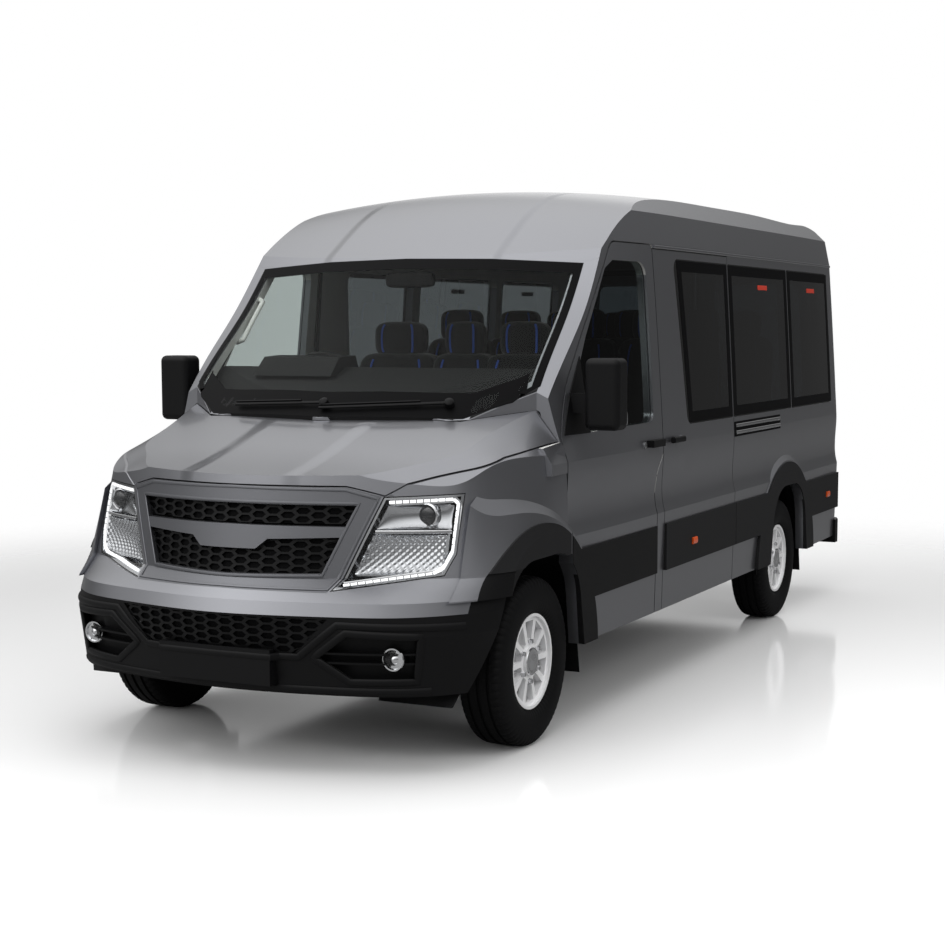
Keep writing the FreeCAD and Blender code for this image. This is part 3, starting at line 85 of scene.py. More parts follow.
camera_data = bpy.data.cameras.new("studio_camera")
camera_data.sensor_width = sensor_mm
camera_data.lens = focal_pixels / picture_pixels * sensor_mm
camera_data.shift_y = centre_drop_pixels / picture_pixels
camera_data.clip_end = camera_reach
camera = bpy.data.objects.new("studio_camera", camera_data)
bpy.context.scene.collection.objects.link(camera)
camera.matrix_world = (
    Matrix.Translation(camera_place)
    @ Matrix.Rotation(radians(camera_yaw), 4, "Z")
    @ Matrix.Rotation(radians(90 - camera_pitch), 4, "X")
    @ Matrix.Rotation(radians(camera_roll), 4, "Z")
)
bpy.context.scene.camera = camera
bpy.context.scene.view_settings.view_transform = "Standard"

# The room is bright overhead, ahead of the nose and far behind on the right, and dim on the left
world = bpy.data.worlds.new("studio_room")
bpy.context.scene.world = world
world.use_nodes = True
room = world.node_tree
room.nodes.clear()
path = add_node(room, "LightPath")
direction = add_node(room, "TexCoord")
way = add_node(room, "SeparateXYZ", Vector=direction.outputs["Generated"])
overhead, ahead, upward, behind, rightwards, leftwards = [
    add_node(room, "MapRange", smooth, Value=way.outputs[axis], From_Min=start, From_Max=end,
             To_Min=low, To_Max=high)
    for axis, start, end, low, high in (
        ("Z", 0.05, 0.95, 0.12, 1.20), ("Y", 0.1, -0.75, 0.0, 1.05), ("Z", 0.0, 0.65, 0.22, 1.0),
        ("Y", 0.75, 0.92, 0.0, 1.0), ("X", -0.05, -0.40, 0.0, 0.8), ("X", -0.35, 0.60, 1.0, 0.52))]
ahead_up = add_node(room, "Math", times, _0=ahead, _1=upward)
behind_right = add_node(room, "Math", times, _0=behind, _1=rightwards)
walls = add_node(room, "Math", plus, _0=ahead_up, _1=behind_right)
lit = add_node(room, "Math", plus, _0=walls, _1=overhead)
dimmed = add_node(room, "Math", times, _0=lit, _1=leftwards)
seen = add_node(room, "Math", {"operation": "MAXIMUM"}, _0=path.outputs["Is Camera Ray"], _1=dimmed)
glow = add_node(room, "Background", Color=linear(floor_white), Strength=seen)
add_node(room, "OutputWorld", Surface=glow)


def softbox(name, place, aim, width, depth, watts):
    """Area lamp at a place, turned towards a point. It lights the object but isn't mirrored in it."""
    lamp = bpy.data.lights.new(name, "AREA")
    lamp.shape = "RECTANGLE"
    lamp.size, lamp.size_y, lamp.energy = width, depth, watts
    holder = bpy.data.objects.new(name, lamp)
    holder.location = place
    holder.rotation_euler = (Vector(aim) - Vector(place)).to_track_quat("-Z", "Y").to_euler()
    holder.visible_glossy = False
    bpy.context.scene.collection.objects.link(holder)


softbox("ceiling_softbox", (0.3, -0.8, 6.5), (0, 0, 1), 6.0, 9.0, 230)
softbox("front_softbox", (-1.5, -10.5, 4.0), (0, -2, 1), 5.0, 3.0, 115)
softbox("left_softbox", (8.5, -1.0, 3.6), (0, 0, 1), 3.0, 7.0, 260)

floor_mesh = bpy.data.meshes.new("studio_floor")
edge = floor_size / 2
corners = [(-edge, -edge, 0), (edge, -edge, 0), (edge, edge, 0), (-edge, edge, 0)]
floor_mesh.from_pydata(corners, [], [(0, 1, 2, 3)])
floor = bpy.data.objects.new("studio_floor", floor_mesh)
bpy.context.scene.collection.objects.link(floor)
# Satin floor paint: a faint mirror image under the wheels, which runs out into the white sweep
floor_paint, tree = new_material("satin_floor_paint")
place = add_node(tree, "NewGeometry")
path = add_node(tree, "LightPath")
distance = add_node(tree, "VectorMath", {"operation": "LENGTH"}, _0=place.outputs["Position"])
fade = add_node(tree, "MapRange", smooth, Value=distance.outputs["Value"], From_Min=floor_fade_start,
                From_Max=floor_fade_end)
camera_fade = add_node(tree, "Math", times, _0=fade, _1=path.outputs["Is Camera Ray"])
tone = add_node(tree, "Mix", {"data_type": "RGBA"}, Factor=path.outputs["Is Camera Ray"],
                A=linear(floor_reflected), B=linear(floor_white))
boards = add_node(tree, "BsdfPrincipled", Base_Color=tone.outputs[2], Roughness=0.10)
beyond = add_node(tree, "BsdfTransparent")
mix = add_node(tree, "MixShader", _0=camera_fade, _1=boards, _2=beyond)
add_node(tree, "OutputMaterial", Surface=mix)
floor_mesh.materials.append(floor_paint)


# Underbody: pressed steel rails, floor and subframe, dipped in black chassis paint. The engine,
# the rear axle and the knuckles are cast iron, left bare and dulled by road dirt.
grain_bump, grain_depth_mm, coat_roughness = 0.3, 0.2, 0.08


def enamel(name, colour, roughness, metallic=0.0, coat=0.0, speck=0.0, speck_mm=3.0, specular=0.5):
    """A sprayed or moulded finish with a fine grain, speckled where its colour is uneven."""
    material, tree = new_material(name)
    place = add_node(tree, "TexCoord")
    grain = add_node(tree, "TexNoise", Vector=place.outputs["Object"], Scale=1000 / speck_mm, Detail=2.0)
    shade = linear(colour)
    if speck:
        tint = add_node(tree, "MapRange", Value=grain.outputs["Fac"], To_Min=1 - speck, To_Max=1 + speck)
        shade = add_node(tree, "VectorMath", {"operation": "SCALE"}, _0=shade[:3], Scale=tint)
    bump = add_node(tree, "Bump", Strength=grain_bump, Distance=grain_depth_mm / 1000,
                    Height=grain.outputs["Fac"])
    face = add_node(tree, "BsdfPrincipled", Base_Color=shade, Metallic=metallic, Roughness=roughness,
                    Coat_Weight=coat, Coat_Roughness=coat_roughness, Specular_IOR_Level=specular, Normal=bump)
    add_node(tree, "OutputMaterial", Surface=face)
    return material


def coat_nodes(material, *names):
    """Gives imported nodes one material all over."""
    for name in names:
        data = nodes[name].data
        data.materials.clear()
        data.materials.append(material)
        for face in data.polygons:
            face.material_index = 0


# Chassis paint is a flat black with hardly a shine; bare cast iron is a rough warm grey
chassis_paint = enamel("black_chassis_paint", "#1B1C1D", 0.6, speck=0.2)
cast_iron = enamel("bare_cast_iron", "#4A4946", 0.65, metallic=0.6, speck=0.3)
coat_nodes(chassis_paint, "chassis", "floor_pan", "front_subframe", "radiator")
coat_nodes(cast_iron, "engine_block", "rear_axle", "knuckle_left", "knuckle_right")


# Body panels: pressed steel sprayed metallic grey under a clear lacquer. The inner faces carry
# moulded trim panels and a cloth roof lining. The bonnet and the roof have pressed swages.
paint_grey, trim_grey = "#98999E", "#C4C4C1"
lining_centre_z, lining_limit = 1.4, -0.1
# Real flakes and nap are finer: both are drawn as coarse as the render needs to show them
flake_mm, flake_spread = 1.2, 0.06
nap_mm, nap_depth_mm = 1.1111, 0.4
bonnet_swage, roof_swage, swage_height = (0.250, 0.045), (0.455, 0.030), 0.010
minus = {"operation": "SUBTRACT"}


def metallic_lacquer(name, lined=True, swage_x=None, swage_half=0.0):
    """Grey metallic basecoat with lacquer outside, and pale trim inside where the cabin is lined.

    Its flakes give a soft wide highlight, and the lacquer lays a sharper one over it.
    """
    material, tree = new_material(name)
    place = add_node(tree, "NewGeometry")
    position = place.outputs["Position"]
    flake = add_node(tree, "TexNoise", Vector=position, Scale=1000 / flake_mm, Detail=1.0)
    glint = add_node(tree, "MapRange", Value=flake.outputs["Fac"], To_Min=1 - flake_spread,
                     To_Max=1 + flake_spread)
    shade = add_node(tree, "VectorMath", {"operation": "SCALE"}, _0=linear(paint_grey)[:3], Scale=glint)
    relief = {}
    if swage_x:
        parts = add_node(tree, "SeparateXYZ", Vector=position)
        across = add_node(tree, "Math", {"operation": "ABSOLUTE"}, _0=parts.outputs["X"])
        step = add_node(tree, "MapRange", smooth, Value=across, From_Min=swage_x - swage_half,
                        From_Max=swage_x + swage_half, To_Min=1.0, To_Max=0.0)
        swage = add_node(tree, "Bump", Strength=1.0, Distance=swage_height, Height=step)
        relief = {"Normal": swage, "Coat_Normal": swage}
    paint = add_node(tree, "BsdfPrincipled", Base_Color=shade, Metallic=0.92, Roughness=0.33, Coat_Weight=0.6,
                     Coat_Roughness=0.10, **relief)
    if not lined:
        add_node(tree, "OutputMaterial", Surface=paint)
        return material
    weave = add_node(tree, "TexNoise", Vector=position, Scale=1000 / nap_mm)
    nap = add_node(tree, "Bump", Strength=0.2, Distance=nap_depth_mm / 1000, Height=weave.outputs["Fac"])
    lining = add_node(tree, "BsdfPrincipled", Base_Color=linear(trim_grey), Roughness=0.75, Normal=nap)
    # A face looks inwards where its normal points to the cabin's centre line
    flat = add_node(tree, "VectorMath", times, _0=position, _1=(1.0, 0.0, 1.0))
    spoke = add_node(tree, "VectorMath", minus, _0=flat, _1=(0.0, 0.0, lining_centre_z))
    outward = add_node(tree, "VectorMath", {"operation": "DOT_PRODUCT"}, _0=spoke,
                       _1=place.outputs["True Normal"])
    inner = add_node(tree, "Math", {"operation": "LESS_THAN"}, _0=outward.outputs["Value"], _1=lining_limit)
    mix = add_node(tree, "MixShader", _0=inner, _1=paint, _2=lining)
    add_node(tree, "OutputMaterial", Surface=mix)
    return material


body_paint = metallic_lacquer("metallic_grey_lacquer")
coat_nodes(body_paint, "side_panel_left", "side_panel_right", "sliding_door", "front_frame",
           "front_door_left", "front_door_right", "rear_door_left", "rear_door_right")
coat_nodes(metallic_lacquer("metallic_grey_lacquer_nose", False), "fenders", "bumper_upper")
coat_nodes(metallic_lacquer("metallic_grey_lacquer_bonnet", False, *bonnet_swage), "bonnet")
coat_nodes(metallic_lacquer("metallic_grey_lacquer_roof", True, *roof_swage), "roof_panel")


# Black plastic: bumpers, arch rings, side cladding, mirrors and handles are moulded polypropylene
# with a fine leather-like grain. The blank plate is satin paint, and the door seals are rubber.

# The grain scatters the light, so the plastic shows soft grey edges and no mirror image
grained_black = enamel("grained_black_polypropylene", "#0D0D0E", 0.5, speck=0.15, speck_mm=1.5, specular=0.22)
cladding_grey = enamel("grained_charcoal_polypropylene", "#1C1C1D", 0.6, speck=0.15, speck_mm=1.5,
                       specular=0.25)
# The mesh panel behind the cells is black plastic, darkened further as painted shade for the depth of the
# openings; the plate has a low even sheen
painted_shade_black = enamel("matt_black_painted_shade", "#050506", 0.7, speck=0.1, specular=0.1)
plate_black = enamel("satin_black_blank_plate", "#101011", 0.45, speck=0.05, specular=0.2)
# Frame paint is a darker grey than the body's, with a softer highlight; rubber is dead matt
frame_paint = enamel("satin_dark_grey_paint", "#77787C", 0.38, metallic=0.85, coat=0.2, speck=0.05)
seal_rubber = enamel("matt_seal_rubber", "#141415", 0.8, speck=0.1)
coat_nodes(grained_black, "bumper_lower", "rear_bumper", "wheel_housings", "fog_lamps",
           "front_door_left_trim", "front_door_right_trim")
coat_nodes(cladding_grey, "side_cladding")
# The panel behind the cells is near black: painted shade for the depth of the openings
coat_nodes(painted_shade_black, "grille_mesh")
coat_nodes(plate_black, "number_plate")
coat_nodes(frame_paint, "grille_frame")
coat_nodes(seal_rubber, "door_seals")


# Grille: two honeycomb panels and the bumper's intake, moulded in black with staggered
# six-sided cells whose walls stand proud of the panel behind them.
half_width, body_height = 1.045, 2.475
cell_pitch_x, cell_pitch_z = 0.060, 0.033
cell_wall, cell_stand = 0.0042, 0.010
upper_cells_shares = [(0.0, 0.4315), (0.488, 0.4299), (0.466, 0.4000), (0.0, 0.4000)]
lower_cells_shares = [(0.0, 0.3590), (0.120, 0.3590), (0.172, 0.3755), (0.446, 0.3790), (0.381, 0.3224),
                      (0.0, 0.3200)]
intake_cells_shares = [(0.0, 0.2586), (0.465, 0.2578), (0.336, 0.2008), (0.0, 0.2008)]
rearward, cast_start = Vector((0, 1, 0)), 6.0
edge_rings, edge_turns, edge_step = 6, 8, 0.001


def surface_of(*names):
    """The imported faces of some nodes, ready to be met by lines."""
    mesh = bmesh.new()
    for name in names:
        mesh.from_mesh(nodes[name].data)
    tree = BVHTree.FromBMesh(mesh)
    mesh.free()
    return tree


def land(surface, point, along, stand=0.0):
    """Where a line through a point first meets a surface, stood proud of it, and the normal there.

    Just past the surface's edge the surface is taken to run on as it does nearby.
    """
    start = Vector(point) - along * cast_start
    hit, normal, _, _ = surface.ray_cast(start, along)
    for i in range(edge_rings * edge_turns):
        if hit is not None:
            break
        turn, away = tau * i / edge_turns, edge_step * 2 ** (i // edge_turns)
        c, s = cos(turn), sin(turn)
        aside = Vector((c, 0, s)) if along.x == 0 else Vector((0, c, s))
        hit, normal, _, _ = surface.ray_cast(start + aside * away, along)
        if hit is not None:
            hit = hit - aside * away
    if hit is None:
        hit, normal, _, _ = surface.find_nearest(Vector(point))
    if normal.dot(along) > 0:
        normal = -normal
    return hit + normal * stand, normal


def new_piece(name, part, material, body="body_shell", sharp=35):
    """A mesh piece that rides on a body, smooth apart from edges sharper than the angle."""
    points, faces = part
    mesh = bpy.data.meshes.new(name)
    mesh.from_pydata([tuple(p) for p in points], [], faces)
    mesh.materials.append(material)
    mesh.shade_smooth()
    mesh.set_sharp_from_angle(angle=radians(sharp))
    piece = bpy.data.objects.new(name, mesh)
    bpy.context.scene.collection.objects.link(piece)
    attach(piece, body)
    return piece


def joined(parts):
    """One list of points and one of faces from several."""
    points, faces = [], []
    for more_points, more_faces in parts:
        start = len(points)
        points += more_points
        faces += [tuple(start + i for i in face) for face in more_faces]
    return points, faces


def scaled(shares):
    """Points on the centre plane from shares of the half width and the height."""
    return [(x * half_width, 0, z * body_height) for x, z in shares]


def crossings(outline, x):
    """Heights at which an outline passes a distance from the centre line."""
    heights = []
    for (x0, z0), (x1, z1) in zip(outline, outline[1:]):
        if x0 != x1 and min(x0, x1) <= abs(x) <= max(x0, x1):
            heights.append(z0 + (z1 - z0) * (abs(x) - x0) / (x1 - x0))
    return heights


def trimmed(outline, px, pz):
    """A point of a cell, brought back inside the opening's outline."""
    heights = crossings(outline, px)
    if len(heights) > 1:
        return px, min(max(pz, min(heights)), max(heights))
    pz = min(max(pz, min(z for _, z in outline)), max(z for _, z in outline))
    reach = max([0.0] + crossings([(z, x) for x, z in outline + outline[:1]], pz))
    return copysign(reach, px), pz


def honeycomb(shares, surface):
    """Cell walls over one opening, as six-sided rings trimmed to its outline."""
    outline = [(x, z) for x, _, z in scaled(shares)]
    low, high = min(z for _, z in outline), max(z for _, z in outline)
    tip, flat, rise = cell_pitch_x * 2 / 3, cell_pitch_x / 3, cell_pitch_z / 2
    ring = [(-tip, 0), (-flat, rise), (flat, rise), (tip, 0), (flat, -rise), (-flat, -rise)]
    columns = int(max(x for x, _ in outline) / cell_pitch_x) + 1
    rows = int((high - low) / cell_pitch_z) + 2
    faces = []
    for i in range(6):
        j = (i + 1) % 6
        faces += [(i, j, 6 + j, 6 + i), (6 + i, 6 + j, 18 + j, 18 + i), (j, i, 12 + i, 12 + j)]
    parts = []
    for column in range(-columns, columns + 1):
        for row in range(-1, rows):
            x = column * cell_pitch_x
            z = low + (row + (column % 2) / 2) * cell_pitch_z
            points = [trimmed(outline, x + across * shrink, z + up * shrink)
                      for shrink in (1.0, 1.0 - cell_wall / rise) for across, up in ring]
            xs, zs = [p[0] for p in points[6:]], [p[1] for p in points[6:]]
            if max(xs) - min(xs) < cell_wall or max(zs) - min(zs) < cell_wall:
                continue
            solid = [land(surface, (px, 0, pz), rearward)[0] - rearward * stand
                     for stand in (cell_stand, 0.0) for px, pz in points]
            parts.append((solid, faces))
    return joined(parts)


# Cell plastic has more sheen than the bumper's, so that each wall catches a thin line of light
cell_plastic = enamel("satin_black_cell_plastic", "#0C0C0D", 0.40, speck=0.05, specular=0.25)
mesh_surface = surface_of("grille_mesh")
panels = [honeycomb(shares, mesh_surface) for shares in (upper_cells_shares, lower_cells_shares)]
new_piece("grille_cells", joined(panels), cell_plastic)
new_piece("intake_cells", honeycomb(intake_cells_shares, mesh_surface), cell_plastic)


# Grille frame: a painted moulding, clipped round the mesh panels, with a rounded bead along
# its outer edge and along its opening.
frame_outline_shares = [(0.0, 0.4570), (0.444, 0.4543), (0.560, 0.4405), (0.428, 0.3000), (0.0, 0.3020)]
hole_outline_shares = [(0.0, 0.4345), (0.496, 0.4330), (0.384, 0.3190), (0.0, 0.3170)]
bead_width, bead_height = 0.013, 0.009


def round_section(width, height, count=10, power=3.0):
    """Flat closed section with rounded corners, as (side, up) pairs."""
    section = []
    for i in range(count):
        turn = tau * (i + 0.5) / count
        c, s = cos(turn), sin(turn)
        across = copysign(abs(c) ** (2 / power), c) * width / 2
        section.append((across, copysign(abs(s) ** (2 / power), s) * height / 2))
    return section


def grid_faces(rows, columns, rows_close=False, columns_close=False):
    """Four-sided faces over a grid of points, which may close on itself either way."""
    faces = []
    for i in range(rows if rows_close else rows - 1):
        k = (i + 1) % rows * columns
        for j in range(columns if columns_close else columns - 1):
            m = (j + 1) % columns
            faces.append((i * columns + j, i * columns + m, k + m, k + j))
    return faces


def sweep(points, ups, section, closed=False):
    """A section run along a line of points; ups say which way its top looks at each."""
    count, sides = len(points), len(section)
    verts = []
    for i, (point, up) in enumerate(zip(points, ups)):
        after = points[(i + 1) % count] if closed or i + 1 < count else point
        before = points[i - 1] if closed or i else point
        side = (after - before).cross(up).normalized()
        rise = side.cross(after - before).normalized()
        verts += [point + side * across + rise * high for across, high in section]
    faces = grid_faces(count, sides, closed, True)
    if not closed:
        faces += [tuple(reversed(range(sides))), tuple(range((count - 1) * sides, count * sides))]
    return verts, faces


def spaced(route, step=0.02, closed=False):
    """Points at even steps along a line of points."""
    route = [Vector(p) for p in route]
    if closed:
        route.append(route[0])
    points = []
    for start, end in zip(route, route[1:]):
        count = max(1, round((end - start).length / step))
        points += [start.lerp(end, i / count) for i in range(count)]
    return points if closed else points + [route[-1]]


def laid(route, surface, section, along=rearward, stand=0.0, closed=False, step=0.02):
    """A section laid along a line, whose points at even steps land on a surface."""
    landed = [land(surface, point, along, stand) for point in spaced(route, step, closed)]
    return sweep([hit for hit, _ in landed], [normal for _, normal in landed], section, closed)


def frame_bead(shares):
    """Rounded bead laid on the frame along a half outline and its mirror image."""
    half = scaled(shares)
    whole = half + [(-x, y, z) for x, y, z in reversed(half) if x > 0]
    return laid(whole, frame_surface, round_section(bead_width, bead_height), closed=True)


frame_surface = surface_of("grille_frame")
beads = joined([frame_bead(frame_outline_shares), frame_bead(hole_outline_shares)])
new_piece("grille_frame_beads", beads, frame_paint)


# Headlamps: an aluminised bowl under a clear lens, with a projector above, a rippled reflector
# below and a row of white light blocks along the top, the outer side and the foot.
bowl_foot_share, bowl_top_share, bowl_outer_share = (0.442, 0.2975), (0.578, 0.4436), 0.803
blocks_route_shares = [(0.592, 0.4345), (0.800, 0.4385), (0.815, 0.4310), (0.816, 0.3570), (0.790, 0.3290),
                       (0.760, 0.3225), (0.470, 0.3050)]
block_length, block_gap, block_width, block_depth, block_setback = 0.021, 0.004, 0.012, 0.010, 0.012
tray_step, tray_width = 0.012, 0.0288
panel_rows, panel_columns = 56, 76
panel_setback, panel_roundness = 0.016, 0.6
ripple_pitch, ripple_depth = 0.026, 0.0032
lower_foot_z, upper_top_z, lower_bowl_depth, upper_bowl_depth = 0.795, 1.062, 0.038, 0.030
split_share, split_half = 0.3875, 0.012
bowl_inner_gap, lower_outer_gap = 0.028, 0.012
divider_setback, divider_width, divider_height, divider_step = 0.018, 0.016, 0.014, 0.01
projector_share, projector_radius, projector_setback = (0.716, 0.4135), 0.036, 0.034
ring_profile = [(-0.02, 1.42), (0.006, 1.36), (0.010, 1.2), (0.002, 1.02), (-0.02, 1.0)]
ball_height_share, ball_radius_share, ball_steps = 0.45, 1.01, 10


def glazing(name, colour, gloss_tone=1.0, index=1.45):
    """Thin tinted glass with a mirror-like face. Only the face that looks outwards mirrors."""
    material, tree = new_material(name)
    tint = add_node(tree, "BsdfTransparent", Color=linear(colour))
    gloss = add_node(tree, "BsdfGlossy", Roughness=0.02, Color=(gloss_tone,) * 3 + (1.0,))
    edge = add_node(tree, "Fresnel", IOR=index)
    place = add_node(tree, "NewGeometry")
    outer = add_node(tree, "Math", minus, _0=1.0, _1=place.outputs["Backfacing"])
    shine = add_node(tree, "Math", times, _0=edge, _1=outer)
    mix = add_node(tree, "MixShader", _0=shine, _1=tint, _2=gloss)
    add_node(tree, "OutputMaterial", Surface=mix)
    return material


def lathe(profile, centre, axis, count=40):
    """A solid of revolution from (along, radius) pairs about an axis through a centre."""
    turn = Vector((0, 0, 1)).rotation_difference(axis)
    points = []
    for along, radius in profile:
        for i in range(count):
            angle = tau * i / count
            spoke = Vector((radius * cos(angle), radius * sin(angle), along))
            points.append(Vector(centre) + turn @ spoke)
    return points, grid_faces(len(profile), count, columns_close=True)


def dome(foot, height, radius, place, steps):
    """A round lens face that bulges forwards from its foot."""
    turns = [pi / 2 * i / steps for i in range(steps + 1)]
    return lathe([(foot + height * sin(t), radius * cos(t)) for t in turns], place, -rearward)


def flipped(part):
    """The same points and faces on the other side of the vehicle."""
    points, faces = part
    return [Vector((-p.x, p.y, p.z)) for p in points], [face[::-1] for face in faces]


def new_pair(name, part, material, body="body_shell", sharp=35):
    """A piece on the left and its mirror image on the right. The side goes into both names."""
    for side, sided_part in (("left", part), ("right", flipped(part))):
        new_piece(name.format(side), sided_part, material, body.format(side), sharp)


def pushed_in(route, surface, depth):
    """Points of a line, each landed on the front and pushed in behind it."""
    return [land(surface, point, rearward)[0] + rearward * depth for point in route]


def reflector(inner_low, inner_high, outer_x, z_low, z_high, deep, rippled):
    """Curved reflector behind the lens, deepest in its middle."""
    points = []
    for row in range(panel_rows + 1):
        v = row / panel_rows
        z = z_low + (z_high - z_low) * v
        inner = inner_low + (inner_high - inner_low) * v
        for column in range(panel_columns + 1):
            u = column / panel_columns
            x = inner + (outer_x - inner) * u
            hit, _ = land(lens_surface, (x, 0, z), rearward)
            bowl = deep * ((1 - (2 * u - 1) ** 2) * (1 - (2 * v - 1) ** 2)) ** panel_roundness
            if rippled:
                wave_x, wave_z = sin(tau * x / ripple_pitch), sin(tau * z / ripple_pitch)
                bowl += ripple_depth * wave_x * wave_z
            points.append(hit + rearward * (panel_setback + bowl))
    return points, grid_faces(panel_rows + 1, panel_columns + 1)


# Vapour-coated aluminium and chrome mirror the room sharply; the clear lens adds a thin gloss
bright_bowl = enamel("vapour_coated_aluminium", "#C6C8CB", 0.09, metallic=1.0, coat=0.3)
chrome = enamel("bright_chrome_plate", "#E4E5E7", 0.08, metallic=1.0)
lens_glass = glazing("clear_polycarbonate_lens", "#FFFFFF", 0.8)
# Light blocks are frosted acrylic that glows a little, as their lamps are on
light_block, tree = new_material("frosted_acrylic_light_block")
frosted = add_node(tree, "BsdfPrincipled", Base_Color=linear("#F4F6F8"), Roughness=0.2,
                   Emission_Color=linear("#FFFFFF"), Emission_Strength=0.75)
add_node(tree, "OutputMaterial", Surface=frosted)
# The projector's thick glass looks nearly black, with one sharp highlight
projector_glass, tree = new_material("dark_projector_glass")
ball_glass = add_node(tree, "BsdfPrincipled", Base_Color=linear("#1A1C1F"), Roughness=0.03, Coat_Weight=1.0)
add_node(tree, "OutputMaterial", Surface=ball_glass)
coat_nodes(bright_bowl, "headlamps")
coat_nodes(lens_glass, "headlamp_lenses")

lens_surface = surface_of("headlamp_lenses")
blocks = []
route = spaced(scaled(blocks_route_shares), block_length + block_gap)
for start, end in zip(route, route[1:]):
    run = (end - start).normalized() * block_gap / 2
    ends = pushed_in([start + run, end - run], lens_surface, block_setback)
    blocks.append(sweep(ends, [-rearward] * 2, round_section(block_width, block_depth, 12, 4.0)))
blocks = joined(blocks)
tray = pushed_in(spaced(scaled(blocks_route_shares), tray_step), lens_surface, block_setback + block_depth)
tray = sweep(tray, [-rearward] * len(tray), round_section(tray_width, block_depth, 8, 4.0))
(inner_low, _, foot_z), (inner_high, _, top_z) = scaled([bowl_foot_share, bowl_top_share])
outer_x = bowl_outer_share * half_width
split_z = split_share * body_height


def inner_edge(z):
    """X of the bowl's inner edge at a height."""
    return inner_low + (inner_high - inner_low) * (z - foot_z) / (top_z - foot_z) + bowl_inner_gap


lower_top_z, upper_foot_z = split_z - split_half, split_z + split_half
bowls = joined([
    reflector(inner_edge(lower_foot_z), inner_edge(lower_top_z), outer_x - lower_outer_gap,
              lower_foot_z, lower_top_z, lower_bowl_depth, True),
    reflector(inner_edge(upper_foot_z), inner_edge(upper_top_z), outer_x,
              upper_foot_z, upper_top_z, upper_bowl_depth, False),
])
divider = spaced([(inner_edge(split_z), 0, split_z), (outer_x, 0, split_z)], divider_step)
divider = pushed_in(divider, lens_surface, divider_setback)
divider = sweep(divider, [-rearward] * len(divider), round_section(divider_width, divider_height, 8))
projector_place = pushed_in(scaled([projector_share]), lens_surface, projector_setback)[0]
ring = lathe([(along, projector_radius * share) for along, share in ring_profile], projector_place, -rearward)
ball = dome(0.0, projector_radius * ball_height_share, projector_radius * ball_radius_share, projector_place,
            ball_steps)
new_pair("headlamp_{}_light_blocks", blocks, light_block)
new_pair("headlamp_{}_block_tray", joined([tray, divider]), chrome)
new_pair("headlamp_{}_reflectors", bowls, bright_bowl, sharp=60)
new_pair("headlamp_{}_projector_ring", ring, chrome)
new_pair("headlamp_{}_projector_lens", ball, projector_glass)


# Fog lamps: round lamps with a chromed bowl and a clear domed lens, clipped into the black
# bezel from behind.
fog_centre_share, fog_radius = (0.690, 0.1950), 0.040
fog_bowl_profile = [(0.004, 1.18), (0.010, 1.12), (0.010, 0.98), (0.001, 0.9), (0.0, 0.5), (0.008, 0.28),
                    (0.011, 0.0)]
fog_dome_foot, fog_dome_height, fog_dome_share, fog_dome_steps = 0.008, 0.009, 0.98, 8
fog_place = land(surface_of("fog_lamps"), scaled([fog_centre_share])[0], rearward)[0]
fog_bowl = lathe([(along, fog_radius * share) for along, share in fog_bowl_profile], fog_place, -rearward)
fog_dome = dome(fog_dome_foot, fog_dome_height, fog_radius * fog_dome_share, fog_place, fog_dome_steps)
new_pair("fog_lamp_{}_bowl", fog_bowl, chrome)
new_pair("fog_lamp_{}_lens", fog_dome, lens_glass)


# Bumper rims: raised lips moulded with the black bumper, one round each fog lamp's opening, one
# that runs up from the intake's foot and out to the side, and one along the bumper's foot.
fog_rim_shares = [(0.402, 0.1947), (0.532, 0.2370), (0.786, 0.2312), (0.762, 0.1580), (0.532, 0.1568)]
wing_shares = [(0.0, 0.1940), (0.345, 0.1950), (0.400, 0.2140), (0.500, 0.2490), (0.900, 0.2440)]
foot_lip_shares = [(0.0, 0.1420), (0.45, 0.1420), (0.80, 0.1420)]
rim_width, rim_height = 0.030, 0.016
bumper_surface = surface_of("bumper_lower")
rim_section = round_section(rim_width, rim_height, 12, 2.2)
rims = [laid(scaled(shares), bumper_surface, rim_section, closed=closed)
        for shares, closed in ((fog_rim_shares, True), (wing_shares, False), (foot_lip_shares, False))]
new_pair("bumper_{}_rims", joined(rims), grained_black)


# Glass: laminated windscreen and toughened side panes, the rear ones smoked, all bonded in.
# A fired black border hides the bonding along every edge.
screen_outline_shares = [
    (0.0, 0.5560), (0.236, 0.5576), (0.608, 0.5552), (0.767, 0.5826), (0.848, 0.6093),
    (0.834, 0.7273), (0.822, 0.8291), (0.411, 0.8388), (0.0, 0.8420),
]
screen_foot_z, screen_top_z = 0.5560 * body_height, 0.8420 * body_height
foot_band_z, top_band_z, screen_middle_z = 0.60 * body_height, 0.82 * body_height, 0.7 * body_height
pillar_band_x = 0.80 * half_width
border_width, border_top_width, border_foot_width, border_stand = 0.034, 0.050, 0.105, 0.0008
screen_step, pane_step = 0.03, 0.05
pane_windows = [(0.4990, 0.7000), (0.7045, 1.0470), (1.0560, 1.7880)]
pane_low_z, pane_high_z, pane_border, first_pane_lean = 1.270, 2.098, 0.055, 0.09
pane_front_gap, pane_rear_gap, pane_height_gap = 0.008, 0.004, 0.006
axle_front_y, wheelbase_length, nose_overhang, tail_overhang = -1.9875, 3.615, 0.9625, 1.3225
inward, side_start = Vector((-1, 0, 0)), 2.0


def station(share):
    """Y of a place along the body: -1 is the nose, 0 the front axle, 1 the rear axle, 2 the tail."""
    if share > 1:
        return axle_front_y + wheelbase_length + (share - 1) * tail_overhang
    return axle_front_y + share * (nose_overhang if share < 0 else wheelbase_length)


def band(outer, inner, surface, along):
    """A flat strip between two closed outlines of the same number of points, laid on a surface."""
    points = [land(surface, point, along, border_stand)[0] for point in outer + inner]
    return points, grid_faces(2, len(outer), columns_close=True)


